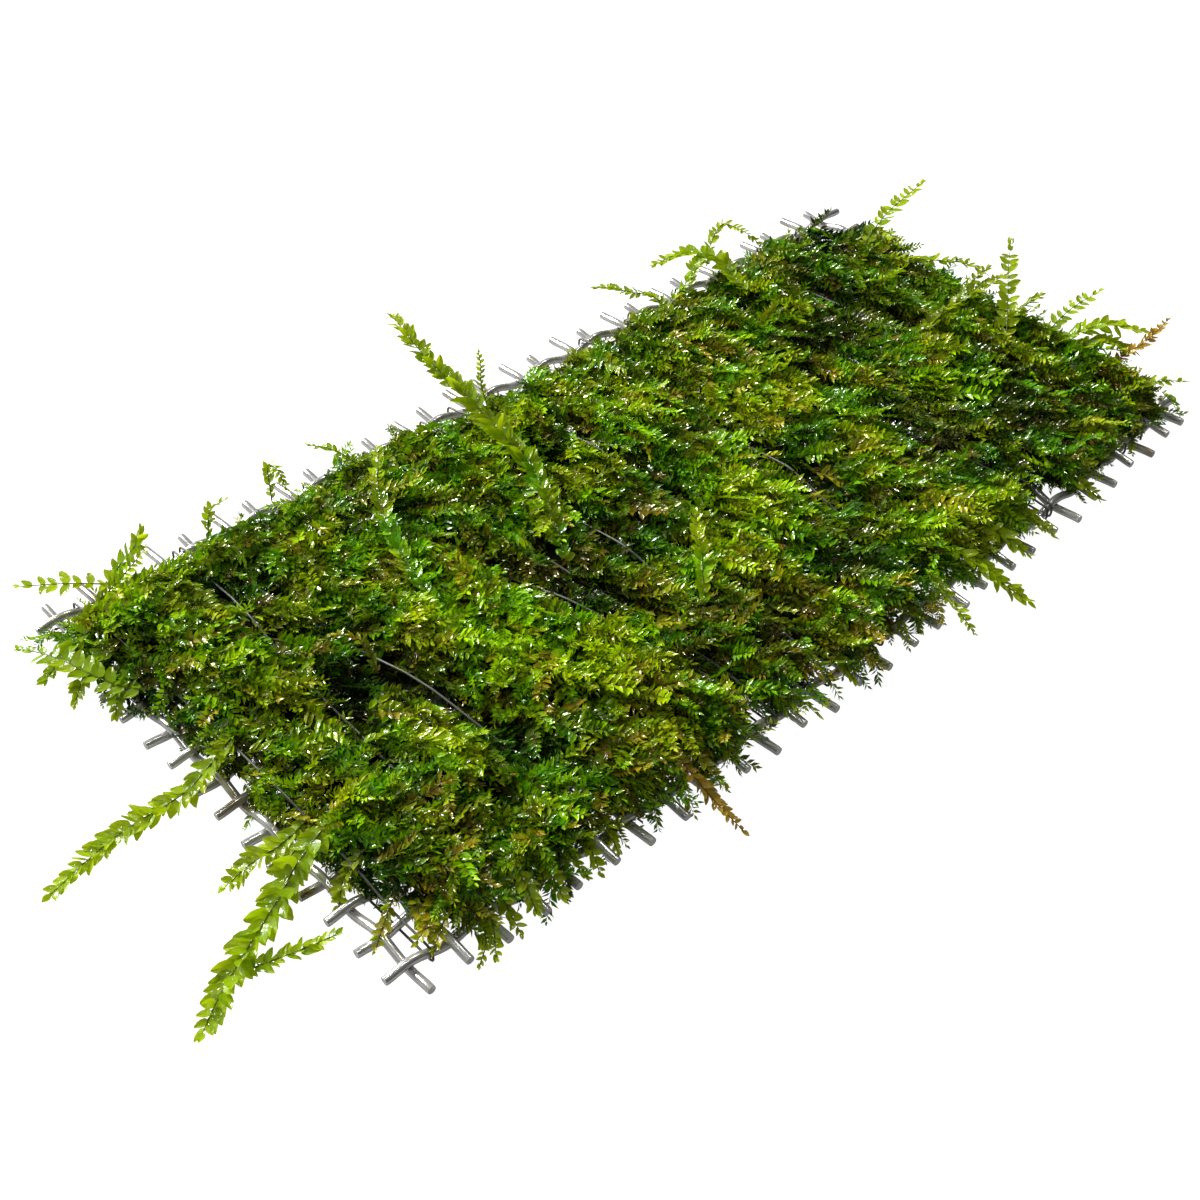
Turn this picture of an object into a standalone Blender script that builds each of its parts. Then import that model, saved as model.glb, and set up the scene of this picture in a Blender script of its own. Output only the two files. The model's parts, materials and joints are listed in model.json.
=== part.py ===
# Java moss tied with nylon thread on a rectangle of plain woven stainless-steel wire mesh.
# Metres, +Z up. X runs along the long wires and Y along the short ones, from the near long side
# to the far one. The object is modelled from the crossing of the first two wires, resting on
# Z = 0, and is then moved so that the middle of its bounding box stands over the origin.

import math

import bmesh
import bpy
from mathutils import Vector, noise
from mathutils.bvhtree import BVHTree

MM = 0.001

# Woven mesh
LONG_WIRES = 15
SHORT_WIRES = 29
PITCH = 3.5 * MM
WIRE_WIDTH = 0.70 * MM
WEAVE_RISE = 0.40 * MM  # how far a wire's centre swings above and below the middle plane
MIDDLE_Z = WEAVE_RISE + WIRE_WIDTH / 2
MESH_TOP = 2 * MIDDLE_Z
TIP_LENGTH = {"near": 2.7 * MM, "far": 2.75 * MM, "left": 2.3 * MM, "right": 2.35 * MM}
TIP_SPREAD = 0.35 * MM  # the wires were cut by hand, so their ends differ by up to this much
LAST_COLUMN = SHORT_WIRES - 1
LAST_ROW = LONG_WIRES - 1

# The near side isn't quite straight: it bows out, and its right corner is pulled in
BOW_COLUMNS = 18
BOW_OUT = 0.85 * MM
PULL_COLUMNS = 10
PULL_X = -1.7 * MM
PULL_Y = 2.1 * MM

# Moss mat
MOSS_BOTTOM = MESH_TOP + 0.12 * MM
RIDGE_HEIGHT = 3.7 * MM
FURROW_HEIGHT = 2.15 * MM
EDGE_HEIGHT = 0.9 * MM
LUMP = 1.0 * MM
ROW_STEPS = (0.0, 0.045, 0.16, 0.33, 0.5, 0.67, 0.84, 0.955, 1.0)
ROW_FULLNESS = (0.0, 0.7, 1.0, 1.0, 1.0, 1.0, 1.0, 0.7, 0.0)
SIDE_FULLNESS = 0.55  # of the column just inside the left and right ends
FURROW_INSET = 0.8 * MM  # the thread holds the moss in where it goes round the outer wires
FULL_RIDGE = 1.2  # a ridge between turns of thread closer than this many columns is squeezed
CREST_SHARES = {1.4: (0.5,), 2.85: (0.32, 0.68), 99.0: (0.22, 0.5, 0.78)}  # by mean width
# Humps and hollows that stand out: x and y in millimetres, reach and rise in millimetres
HUMPS = (
    (6, 33, 6, 0.4), (23, 18, 6, 0.8), (30, 10, 6, 0.5), (31, 29, 5, 0.5), (42, 36, 5, 0.5),
    (54, 33, 5, 0.6), (54, 16, 5, 0.5), (62, 4, 6, 0.5), (73, 21, 6, 0.5), (85, 22, 7, 0.5),
    (12, 23, 3, -1.3), (34, 18, 3, -0.9), (46, 35, 3, -0.9), (19, 7, 3, -0.6), (55, 5, 3, -0.8),
    (79, 29, 3, -0.7), (82, 10, 4, -1.0), (0, 34, 3, -0.5),
)

# Thread: the columns, counted from the first short wire, where each turn goes round the far
# long wire and then, across the moss, round the near one
THREAD_RADIUS = 0.11 * MM
THREAD_SIDES = 3
THREAD_GAP = 0.22 * MM
THREAD_BELOW_Z = 0.155 * MM
TURNS = (
    (0.5, 0.5), (3.4, 2.5), (3.6, 5.5), (7.5, 10.4), (9.5, 10.6), (11.5, 11.5), (12.5, 12.5),
    (13.5, 14.5), (17.5, 16.5), (19.5, 21.4), (21.5, 21.6), (23.5, 25.5), (25.5, 26.5),
)
STEP_ROWS = (6.43, 6.57)  # below the mesh the thread steps sideways to its next opening here

# Fronds: a route of points in millimetres from the first crossing, base first, then the widest
# breadth of the leafy shoot and its thickness
FROND_GAP = 0.15 * MM
FROND_RINGS = 6
FROND_TAPER = 0.35
FRONDS = {
    "frond_far_left": {
        "route": ((4.6, 46.2, 4.2), (1.2, 48.4, 4.9), (-2.0, 50.4, 5.2)),
        "breadth": 2.2, "thickness": 0.5,
    },
    "frond_left_broad": {
        "route": ((0.4, 30.0, 3.7), (-2.2, 32.3, 3.3), (-2.7, 35.0, 3.6), (-3.1, 38.6, 3.7),
                  (-3.9, 42.6, 3.4), (-5.0, 45.9, 2.9)),
        "breadth": 3.4, "thickness": 0.7,
    },
    "frond_upright": {
        "route": ((39.0, 27.5, 4.6), (39.6, 32.0, 6.6), (40.0, 40.9, 9.0), (39.3, 46.2, 11.2),
                  (39.6, 51.4, 13.0)),
        "breadth": 2.6, "thickness": 0.8,
    },
    "frond_far_middle": {
        "route": ((68.2, 43.0, 4.7), (68.2, 45.7, 5.4), (66.5, 47.2, 6.0),
                  (65.2, 48.8, 6.3), (63.9, 49.8, 6.5)),
        "breadth": 1.5, "thickness": 0.5,
    },
    "frond_far_curved": {
        "route": ((76.6, 40.5, 4.9), (77.3, 43.4, 5.3), (77.6, 45.4, 5.9), (76.9, 47.6, 6.1),
                  (75.3, 49.7, 5.6), (72.9, 50.5, 5.0)),
        "breadth": 2.0, "thickness": 0.5,
    },
    "frond_far_right": {
        "route": ((92.0, 38.4, 4.2), (97.4, 39.6, 6.0), (104.1, 40.3, 7.0)),
        "breadth": 2.0, "thickness": 0.5,
    },
    "frond_right_upright": {
        "route": ((88.8, 15.6, 4.8), (92.5, 18.6, 7.4), (95.2, 20.8, 9.0), (97.6, 22.6, 10.0)),
        "breadth": 2.2, "thickness": 0.6,
    },
    "frond_right_middle": {
        "route": ((91.8, 14.4, 4.8), (96.0, 14.3, 6.6), (100.0, 13.6, 7.5)),
        "breadth": 1.9, "thickness": 0.5,
    },
    "frond_right_brown": {
        "route": ((92.4, 7.4, 4.0), (95.0, 6.8, 5.4), (97.6, 5.9, 6.6), (101.4, 6.3, 7.0)),
        "breadth": 1.3, "thickness": 0.5,
    },
    "frond_near_right": {
        "route": ((61.6, 0.6, 4.2), (62.2, -2.0, 3.2), (63.1, -4.4, 1.9), (63.9, -6.4, 1.0)),
        "breadth": 2.2, "thickness": 0.5,
    },
    "frond_near_withered": {
        "route": ((26.4, 0.4, 4.2), (26.4, -2.4, 3.2), (26.6, -5.0, 1.8), (26.8, -7.6, 0.9)),
        "breadth": 1.4, "thickness": 0.5,
    },
    "frond_left_long": {
        "route": ((2.4, 24.9, 3.9), (-0.5, 24.0, 3.4), (-3.1, 23.3, 2.9), (-5.3, 23.5, 2.4),
                  (-8.6, 24.1, 1.7), (-12.3, 23.9, 1.1), (-15.8, 23.2, 0.8)),
        "breadth": 2.4, "thickness": 0.5,
    },
    "frond_left_forked": {
        "route": ((2.6, 12.6, 4.0), (-1.1, 11.5, 3.2), (-4.5, 9.8, 2.7), (-8.1, 8.2, 2.2),
                  (-11.3, 6.8, 1.6), (-14.1, 5.2, 1.0)),
        "breadth": 3.0, "thickness": 1.1,
    },
    "frond_left_short": {
        "route": ((1.6, 14.2, 3.4), (-0.8, 14.1, 2.7), (-3.6, 14.5, 2.1), (-5.9, 14.6, 1.3)),
        "breadth": 2.2, "thickness": 0.8,
    },
}
# The side shoot of the forked frond, from inside the frond to its own tip
FORK_SHOOT = {
    "route": ((-9.2, 7.0, 1.7), (-6.6, 6.0, 2.0), (-4.6, 5.2, 2.3), (-2.9, 4.6, 2.6)),
    "breadth": 1.8, "thickness": 0.5,
}


def clear_scene():
    for item in list(bpy.data.objects):
        bpy.data.objects.remove(item, do_unlink=True)


def make_material(name, colour, roughness, metallic):
    material = bpy.data.materials.new(name)
    material.use_nodes = True
    shader = material.node_tree.nodes["Principled BSDF"]
    shader.inputs["Base Color"].default_value = (*colour, 1.0)
    shader.inputs["Roughness"].default_value = roughness
    shader.inputs["Metallic"].default_value = metallic
    return material


def link_object(name, shape, material, smooth_angle):
    """Turn a bmesh into a shaded object with its faces pointing out."""
    bmesh.ops.recalc_face_normals(shape, faces=shape.faces)
    mesh = bpy.data.meshes.new(name)
    shape.to_mesh(mesh)
    shape.free()
    mesh.materials.append(material)
    mesh.shade_smooth()
    mesh.set_sharp_from_angle(angle=smooth_angle)
    made = bpy.data.objects.new(name, mesh)
    bpy.context.scene.collection.objects.link(made)
    return made


def add_tube(shape, rings):
    """Join rings of equally many points into one closed tube inside the bmesh."""
    loops = [[shape.verts.new(point) for point in ring] for ring in rings]
    sides = len(loops[0])
    for low, high in zip(loops, loops[1:]):
        for k in range(sides):
            shape.faces.new((low[k], low[(k + 1) % sides], high[(k + 1) % sides], high[k]))
    shape.faces.new(loops[0][::-1])
    shape.faces.new(loops[-1])


def mesh_point(column, row):
    """X and Y of the place that many columns and rows into the mesh."""
    nearness = 1 - row / LAST_ROW
    pull = max(0.0, (column - BOW_COLUMNS) / PULL_COLUMNS) ** 2 * nearness
    bow_share = min(max(column / BOW_COLUMNS, 0.0), 1.0)
    bow = math.sin(math.pi * bow_share) * nearness ** 2
    x = column * PITCH + PULL_X * pull
    y = row * PITCH + PULL_Y * pull - BOW_OUT * bow
    return x, y


def tip_length(side, number):
    """Length of one cut end, the same each time it is asked for."""
    side_number = list(TIP_LENGTH).index(side)
    scatter = noise.noise(Vector((number * 1.7, side_number * 3.1, 0.5)))
    return TIP_LENGTH[side] + 2 * TIP_SPREAD * scatter


def wire_route(points, first_tip, last_tip):
    """The crossings of one wire, with a level cut end before the first and after the last."""
    before = Vector(points[0]) - Vector(first_tip)
    after = Vector(points[-1]) + Vector(last_tip)
    return [before, *map(Vector, points), after]


def long_wire(row, material):
    points = []
    for column in range(SHORT_WIRES):
        x, y = mesh_point(column, row)
        over = 1 if (column + row) % 2 == 0 else -1
        points.append((x, y, MIDDLE_Z + over * WEAVE_RISE))
    left = (tip_length("left", row), 0, 0)
    right = (tip_length("right", row), 0, 0)
    return square_wire(f"wire_long_{row + 1:02d}", wire_route(points, left, right),
                       Vector((0, 1, 0)), material)


def short_wire(column, material):
    points = []
    for row in range(LONG_WIRES):
        x, y = mesh_point(column, row)
        over = -1 if (column + row) % 2 == 0 else 1
        points.append((x, y, MIDDLE_Z + over * WEAVE_RISE))
    near = (0, tip_length("near", column), 0)
    far = (0, tip_length("far", column), 0)
    return square_wire(f"wire_short_{column + 1:02d}", wire_route(points, near, far),
                       Vector((1, 0, 0)), material)


def square_wire(name, route, across, material):
    half_across = across * WIRE_WIDTH / 2
    half_up = Vector((0, 0, WIRE_WIDTH / 2))
    rings = []
    for point in route:
        rings.append([point - half_across - half_up, point + half_across - half_up,
                      point + half_across + half_up, point - half_across + half_up])
    shape = bmesh.new()
    add_tube(shape, rings)
    return link_object(name, shape, material, math.radians(50))


def column_list():
    """Each column of the moss: its place in mesh columns at the near and the far edge, its kind,
    and how wide its ridge is there."""
    columns = []
    turns = [(near, far) for far, near in TURNS]
    lines = [(-0.1, -0.4)] + turns + [(LAST_COLUMN + 0.1, LAST_COLUMN + 0.2)]
    for number, (start, stop) in enumerate(zip(lines, lines[1:])):
        kind = "end" if number == 0 else "furrow"
        columns.append((*start, kind, (0, 0)))
        widths = (stop[0] - start[0], stop[1] - start[1])
        mean_width = sum(widths) / 2
        shares = next(CREST_SHARES[limit] for limit in CREST_SHARES if mean_width < limit)
        for share in shares:
            near = start[0] + widths[0] * share
            far = start[1] + widths[1] * share
            columns.append((near, far, "ridge", widths))
    columns.append((*lines[-1], "end", (0, 0)))
    return columns


def squeeze(width):
    """1 on a ridge of full width, and less where two turns of the thread come together."""
    return min(1.0, width / FULL_RIDGE)


def bump_at(value, centre, reach):
    """A smooth bump of height 1 at the centre that fades out over the reach."""
    return math.exp(-((value - centre) / reach) ** 2)


def near_inset(column, kind, width):
    """How far the moss stays inside the near long wire, negative where it bulges over it."""
    bare_corner = 4.4 * MM * bump_at(column, -0.6, 2.0)
    if kind == "furrow":
        return FURROW_INSET + bare_corner
    lobe = 1.2 * MM * noise.noise(Vector((column * 0.8, 3.3, 0)))
    overhang = (1.2 + 0.8 * column / LAST_COLUMN) * MM - lobe + FURROW_INSET
    return bare_corner + FURROW_INSET - overhang * squeeze(width)


def far_inset(column, kind, width):
    """How far the moss stays inside the far long wire."""
    if kind == "furrow":
        return FURROW_INSET
    lush = 1.3 * MM * bump_at(column, 9.5, 1.2)
    thin = bump_at(column, 2.0, 3.0) + bump_at(column, 6.5, 1.0) + bump_at(column, 16.5, 2.5)
    lobe = 0.8 * MM * noise.noise(Vector((column * 0.8, 9.7, 0)))
    ridge_inset = 0.4 * MM + 1.2 * MM * thin - lush + lobe
    return FURROW_INSET + (ridge_inset - FURROW_INSET) * squeeze(width)


def end_reach(row_share, side):
    """How far the moss's left or right end stands out of its straight end column."""
    lobe = 1.0 * MM * noise.noise(Vector((row_share * 5.0, 17.0 + side * 6.0, 0)))
    if side < 0:
        corner = -3.0 * MM * bump_at(row_share, 0.0, 0.16)
        lush = 1.6 * MM * bump_at(row_share, 0.82, 0.2)
        return -0.6 * MM + corner + lush + lobe
    corner = -1.2 * MM * bump_at(row_share, 0.0, 0.1)
    return corner + lobe


def moss_place(column, row_step):
    """X and Y of one point of the moss grid."""
    near_column, far_column, kind, widths = column
    middle = near_column + (far_column - near_column) * row_step
    x, y_near = mesh_point(middle, 0)
    x_far, y_far = mesh_point(middle, LAST_ROW)
    low = y_near + near_inset(near_column, kind, widths[0])
    high = y_far - far_inset(far_column, kind, widths[1])
    y = low + (high - low) * row_step
    x = x + (x_far - x) * row_step
    if kind == "end":
        side = -1 if near_column < LAST_COLUMN / 2 else 1
        x += side * end_reach(row_step, side)
    return x, y


def moss_height(x, y, kind, width, fullness):
    """Height of the moss over its flat underside."""
    lump = noise.noise(Vector((x * 190, y * 190, 7.0)))
    if kind == "furrow":
        top = FURROW_HEIGHT - 0.4 * MM * abs(lump)
    else:
        rise = sum(hump[3] * MM * bump_at(math.dist((x, y), (hump[0] * MM, hump[1] * MM)),
                                          0, hump[2] * MM) for hump in HUMPS)
        ridge = RIDGE_HEIGHT - FURROW_HEIGHT + rise + LUMP * lump
        top = FURROW_HEIGHT + ridge * squeeze(width)
    return EDGE_HEIGHT + (top - EDGE_HEIGHT) * fullness


def moss_grid():
    """Points of the moss's upper side, as rows of columns."""
    columns = column_list()
    last = len(columns) - 1
    grid = []
    for row_step, row_fullness in zip(ROW_STEPS, ROW_FULLNESS):
        row = []
        for number, column in enumerate(columns):
            fullness = row_fullness
            if column[2] == "end":
                fullness = 0.0
            elif column[2] == "furrow" and fullness > 0:
                fullness = 1.0
            elif number in (1, last - 1):
                fullness *= SIDE_FULLNESS
            x, y = moss_place(column, row_step)
            width = column[3][0] + (column[3][1] - column[3][0]) * row_step
            height = moss_height(x, y, column[2], width, fullness)
            row.append(Vector((x, y, MOSS_BOTTOM + height)))
        grid.append(row)
    return grid


def moss_mat(grid, material):
    """The mass of moss: the lumpy top, a low wall round it and a flat underside."""
    shape = bmesh.new()
    top = [[shape.verts.new(point) for point in row] for row in grid]
    for low, high in zip(top, top[1:]):
        for k in range(len(low) - 1):
            shape.faces.new((low[k], low[k + 1], high[k + 1], high[k]))
    rim = top[0] + [row[-1] for row in top[1:-1]] + top[-1][::-1]
    rim += [row[0] for row in top[-2:0:-1]]
    foot = {vert: shape.verts.new((vert.co.x, vert.co.y, MOSS_BOTTOM)) for vert in rim}
    for vert, after in zip(rim, rim[1:] + rim[:1]):
        shape.faces.new((vert, foot[vert], foot[after], after))
    last = len(top[0]) - 1
    for k in range(last):
        left = [row[k] for row in top if row[k] in foot]
        right = [row[k + 1] for row in top if row[k + 1] in foot]
        shape.faces.new([foot[vert] for vert in left + right[::-1]])
    bmesh.ops.triangulate(shape, faces=[face for face in shape.faces if len(face.verts) > 4])
    return link_object("moss_mat", shape, material, math.radians(60))


def thread_route(grid):
    """The whole way of the thread: over the moss along each furrow and back below the mesh."""
    furrows = [k for k, column in enumerate(column_list()) if column[2] == "furrow"]
    outside = WIRE_WIDTH / 2 + THREAD_RADIUS + 0.1 * MM
    lift = THREAD_RADIUS + THREAD_GAP
    taut_z = MOSS_BOTTOM + FURROW_HEIGHT + lift
    last = len(grid) - 1
    route = [below_mesh(TURNS[0][0], LAST_ROW - 3, 0)]
    for turn, k in enumerate(furrows):
        far, near = TURNS[turn]
        route.append(below_mesh(far, LAST_ROW, outside))
        route.append(route[-1] + Vector((0, 0, MESH_TOP - THREAD_BELOW_Z)))
        for row in (last, last - 1, 1, 0):
            point = grid[row][k] + Vector((0, 0, lift))
            if row in (1, last - 1):
                point.z = taut_z
            route.append(point)
        route.append(below_mesh(near, 0, -outside))
        route[-1].z = MESH_TOP
        route.append(below_mesh(near, 0, -outside))
        if turn + 1 < len(TURNS):
            route.append(below_mesh(near, STEP_ROWS[0], 0))
            route.append(below_mesh(TURNS[turn + 1][0], STEP_ROWS[1], 0))
    route.append(below_mesh(TURNS[-1][1], 3, 0))
    return route


def below_mesh(column, row, shift):
    x, y = mesh_point(column, row)
    return Vector((x, y + shift, THREAD_BELOW_Z))


def tie_thread(grid, material):
    route = thread_route(grid)
    rings = []
    for k, point in enumerate(route):
        before = route[max(k - 1, 0)]
        after = route[min(k + 1, len(route) - 1)]
        along = (point - before).normalized() + (after - point).normalized()
        along.normalize()
        across = (Vector((1, 0, 0)) - along * along.x).normalized()
        up = along.cross(across)
        turns = [2 * math.pi * side / THREAD_SIDES for side in range(THREAD_SIDES)]
        rings.append([point + (across * math.cos(turn) + up * math.sin(turn)) * THREAD_RADIUS
                      for turn in turns])
    shape = bmesh.new()
    add_tube(shape, rings)
    return link_object("tie_thread", shape, material, math.radians(80))


def smooth_route(points, count):
    """Points spaced along a Catmull-Rom curve through the given ones."""
    ends = [points[0] * 2 - points[1], *points, points[-1] * 2 - points[-2]]
    spans = len(points) - 1
    result = []
    for k in range(count):
        place = spans * k / (count - 1)
        span = min(int(place), spans - 1)
        t = place - span
        a, b, c, d = ends[span:span + 4]
        result.append(0.5 * ((2 * b) + (c - a) * t + (2 * a - 5 * b + 4 * c - d) * t ** 2
                             + (3 * b - a - 3 * c + d) * t ** 3))
    return result


def blade_rings(points, breadth, thickness):
    """Flat lozenges along a frond, broad in the middle and narrow at its tip."""
    rings = []
    last = len(points) - 1
    for k, point in enumerate(points):
        along = (points[min(k + 1, last)] - points[max(k - 1, 0)]).normalized()
        across = along.cross(Vector((0, 0, 1))).normalized()
        up = across.cross(along)
        share = k / last
        fullness = FROND_TAPER + (1 - FROND_TAPER) * math.sin(math.pi * (0.15 + 0.8 * share))
        half_across = across * breadth * MM / 2 * fullness
        half_up = up * thickness * MM / 2 * fullness
        rings.append([point - half_across, point - half_up, point + half_across, point + half_up])
    return rings


def clears_moss(corners, moss_tree):
    for corner in corners:
        distance = moss_tree.find_nearest(corner)[3]
        above, facing, _, _ = moss_tree.ray_cast(corner, Vector((0, 0, 1)))
        inside = above is not None and facing.z > 0
        if inside or distance < FROND_GAP:
            return False
    return True


def outside_moss(points, moss_tree, breadth, thickness):
    """The part of a frond's route beyond the last place where it touches the moss."""
    start = 0
    for k in range(len(points) - 2):
        root_ring = blade_rings(points[k:], breadth, thickness)[0]
        whole_ring = blade_rings(points, breadth, thickness)[k]
        if not clears_moss(root_ring + whole_ring, moss_tree):
            start = k + 1
    return points[start:]


def frond(name, design, moss_tree, material):
    corners = [Vector(point) * MM for point in design["route"]]
    fine = smooth_route(corners, 60)
    fine = outside_moss(fine, moss_tree, design["breadth"], design["thickness"])
    step = (len(fine) - 1) / (FROND_RINGS - 1)
    points = [fine[round(k * step)] for k in range(FROND_RINGS)]
    shape = bmesh.new()
    add_tube(shape, blade_rings(points, design["breadth"], design["thickness"]))
    return link_object(name, shape, material, math.radians(50))


def fork_shoot(fork, material):
    """Join the side shoot to the forked frond with a Boolean union."""
    corners = [Vector(point) * MM for point in FORK_SHOOT["route"]]
    points = smooth_route(corners, FROND_RINGS - 1)
    shape = bmesh.new()
    add_tube(shape, blade_rings(points, FORK_SHOOT["breadth"], FORK_SHOOT["thickness"]))
    shoot = link_object("fork_shoot", shape, material, math.radians(50))
    shoot.hide_render = True
    shoot.display_type = "WIRE"
    union = fork.modifiers.new("side shoot", "BOOLEAN")
    union.operation = "UNION"
    union.object = shoot
    return shoot


def stand_over_origin(pieces):
    """Move everything so that the middle of the bounding box's underside is the origin."""
    corners = [vert.co for piece in pieces for vert in piece.data.vertices]
    low = Vector([min(corner[axis] for corner in corners) for axis in range(3)])
    high = Vector([max(corner[axis] for corner in corners) for axis in range(3)])
    middle = (low + high) / 2
    shift = Vector((-middle.x, -middle.y, -low.z))
    for piece in pieces:
        for vert in piece.data.vertices:
            vert.co += shift


def build():
    clear_scene()
    steel = make_material("stainless steel wire", (0.52, 0.51, 0.49), 0.25, 1.0)
    green = make_material("moss", (0.07, 0.16, 0.015), 0.45, 0.0)
    light_green = make_material("moss frond", (0.22, 0.36, 0.03), 0.45, 0.0)
    withered = make_material("withered moss", (0.42, 0.26, 0.05), 0.5, 0.0)
    nylon = make_material("nylon thread", (0.30, 0.30, 0.27), 0.35, 0.0)

    pieces = [long_wire(row, steel) for row in range(LONG_WIRES)]
    pieces += [short_wire(column, steel) for column in range(SHORT_WIRES)]
    grid = moss_grid()
    moss = moss_mat(grid, green)
    pieces += [moss, tie_thread(grid, nylon)]
    shape = bmesh.new()
    shape.from_mesh(moss.data)
    moss_tree = BVHTree.FromBMesh(shape)
    shape.free()
    for name, design in FRONDS.items():
        colour = withered if name in ("frond_near_withered", "frond_right_brown") else light_green
        pieces.append(frond(name, design, moss_tree, colour))
    fork = bpy.data.objects["frond_left_forked"]
    pieces.append(fork_shoot(fork, light_green))
    stand_over_origin(pieces)


build()
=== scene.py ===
import json
import math

import bmesh
import bpy
import numpy as np
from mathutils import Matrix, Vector, noise
from mathutils.bvhtree import BVHTree

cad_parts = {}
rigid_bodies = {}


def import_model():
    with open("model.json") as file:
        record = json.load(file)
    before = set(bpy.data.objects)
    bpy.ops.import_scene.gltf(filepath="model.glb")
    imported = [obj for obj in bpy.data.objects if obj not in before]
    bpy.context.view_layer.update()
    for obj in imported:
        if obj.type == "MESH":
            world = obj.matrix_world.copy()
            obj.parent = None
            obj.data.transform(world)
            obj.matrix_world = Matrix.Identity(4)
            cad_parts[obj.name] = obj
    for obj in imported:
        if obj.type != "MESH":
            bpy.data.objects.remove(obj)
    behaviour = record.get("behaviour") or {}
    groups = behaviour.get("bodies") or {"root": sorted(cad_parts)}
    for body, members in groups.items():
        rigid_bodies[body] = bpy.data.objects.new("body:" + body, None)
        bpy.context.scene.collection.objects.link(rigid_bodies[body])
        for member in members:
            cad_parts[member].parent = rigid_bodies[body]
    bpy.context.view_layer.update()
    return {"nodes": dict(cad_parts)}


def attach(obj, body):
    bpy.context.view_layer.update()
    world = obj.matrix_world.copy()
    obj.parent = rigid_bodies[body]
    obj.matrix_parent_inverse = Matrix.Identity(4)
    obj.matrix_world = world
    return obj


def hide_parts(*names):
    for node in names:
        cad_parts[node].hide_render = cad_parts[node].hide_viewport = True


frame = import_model()

# Everything below is planned in millimetres from the crossing of the first long and the first
# short wire: x along the long wires, y along the short ones, z up from the floor.
mm = 0.001
nodes = frame["nodes"]


def readPoints(mesh):
    points = np.empty(len(mesh.vertices) * 3)
    mesh.vertices.foreach_get("co", points)
    return points.reshape(-1, 3)


def unit(vectors):
    vectors = np.asarray(vectors, float)
    return vectors / np.maximum(np.linalg.norm(vectors, axis=-1, keepdims=True), 1e-9)


# The middle line of a square CAD wire: four corners at each crossing, in order along it
def wireLine(name, axis):
    corners = np.unique(np.round(readPoints(nodes[name].data) / mm, 3), axis=0)
    corners = corners[np.argsort(corners[:, axis], kind="stable")]
    return corners.reshape(-1, 4, 3).mean(axis=1)


longNames = sorted(name for name in nodes if name.startswith("wire_long"))
shortNames = sorted(name for name in nodes if name.startswith("wire_short"))
longLines = [wireLine(name, 0) for name in longNames]
shortLines = [wireLine(name, 1) for name in shortNames]
zero = np.array((longLines[0][1][0], longLines[0][1][1], 0.0))
longLines = [line - zero for line in longLines]
shortLines = [line - zero for line in shortLines]
crossings = np.array([line[1:-1, :2] for line in longLines])
lastRow = len(longNames) - 1
lastColumn = len(shortNames) - 1
pitch = crossings[lastRow, -1, 0] / lastColumn
print("frame read:", len(nodes), "nodes, pitch", round(float(pitch), 3), "mm")


# Where a place counted in columns and rows of the mesh lies
def meshPoint(column, row):
    c = min(max(int(column), 0), lastColumn - 1)
    r = min(max(int(row), 0), lastRow - 1)
    u, v = column - c, row - r
    near = crossings[r, c] * (1 - u) + crossings[r, c + 1] * u
    far = crossings[r + 1, c] * (1 - u) + crossings[r + 1, c + 1] * u
    return near * (1 - v) + far * v


def toWorld(points):
    return (np.asarray(points, float) + zero) * mm


def writePoints(mesh, points):
    mesh.vertices.foreach_set("co", toWorld(points).astype(np.float32).ravel())


def onlySelect(piece):
    bpy.ops.object.select_all(action="DESELECT")
    piece.select_set(True)
    bpy.context.view_layer.objects.active = piece


# Select the edges or vertices of the piece being edited that pass a test on their place
def pickEdges(piece, test):
    bpy.ops.mesh.select_mode(type="EDGE")
    bpy.ops.mesh.select_all(action="DESELECT")
    shape = bmesh.from_edit_mesh(piece.data)
    for edge in shape.edges:
        edge.select_set(test(edge.verts[0].co, edge.verts[1].co))
    bmesh.update_edit_mesh(piece.data)


def pickVerts(piece, test):
    bpy.ops.mesh.select_mode(type="VERT")
    bpy.ops.mesh.select_all(action="DESELECT")
    shape = bmesh.from_edit_mesh(piece.data)
    for vert in shape.verts:
        vert.select_set(test(vert.co))
    bmesh.update_edit_mesh(piece.data)


def meshArrays(piece):
    mesh = piece.data
    mesh.calc_loop_triangles()
    corners = np.empty(len(mesh.loop_triangles) * 3, np.int64)
    mesh.loop_triangles.foreach_get("vertices", corners)
    return readPoints(mesh), corners.reshape(-1, 3)


def removePiece(piece):
    mesh = piece.data
    bpy.data.objects.remove(piece)
    bpy.data.meshes.remove(mesh)


# A straight round rod of radius 1 along X from 0 to 1, cut into rings, that wires, stems and
# thread start as
def straightRod(sides, cuts):
    bpy.ops.object.select_all(action="DESELECT")
    bpy.ops.mesh.primitive_cylinder_add(vertices=sides, radius=1, depth=1, end_fill_type="NGON",
                                        location=(0.5, 0, 0), rotation=(0, math.pi / 2, 0))
    rod = bpy.context.active_object
    bpy.ops.object.transform_apply(location=True, rotation=True, scale=True)
    bpy.ops.object.mode_set(mode="EDIT")
    for cut in cuts:
        pickEdges(rod, lambda a, b: abs(a.x - b.x) > 1e-4)
        bpy.ops.mesh.subdivide(number_cuts=cut)
    bpy.ops.object.mode_set(mode="OBJECT")
    return rod


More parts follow.
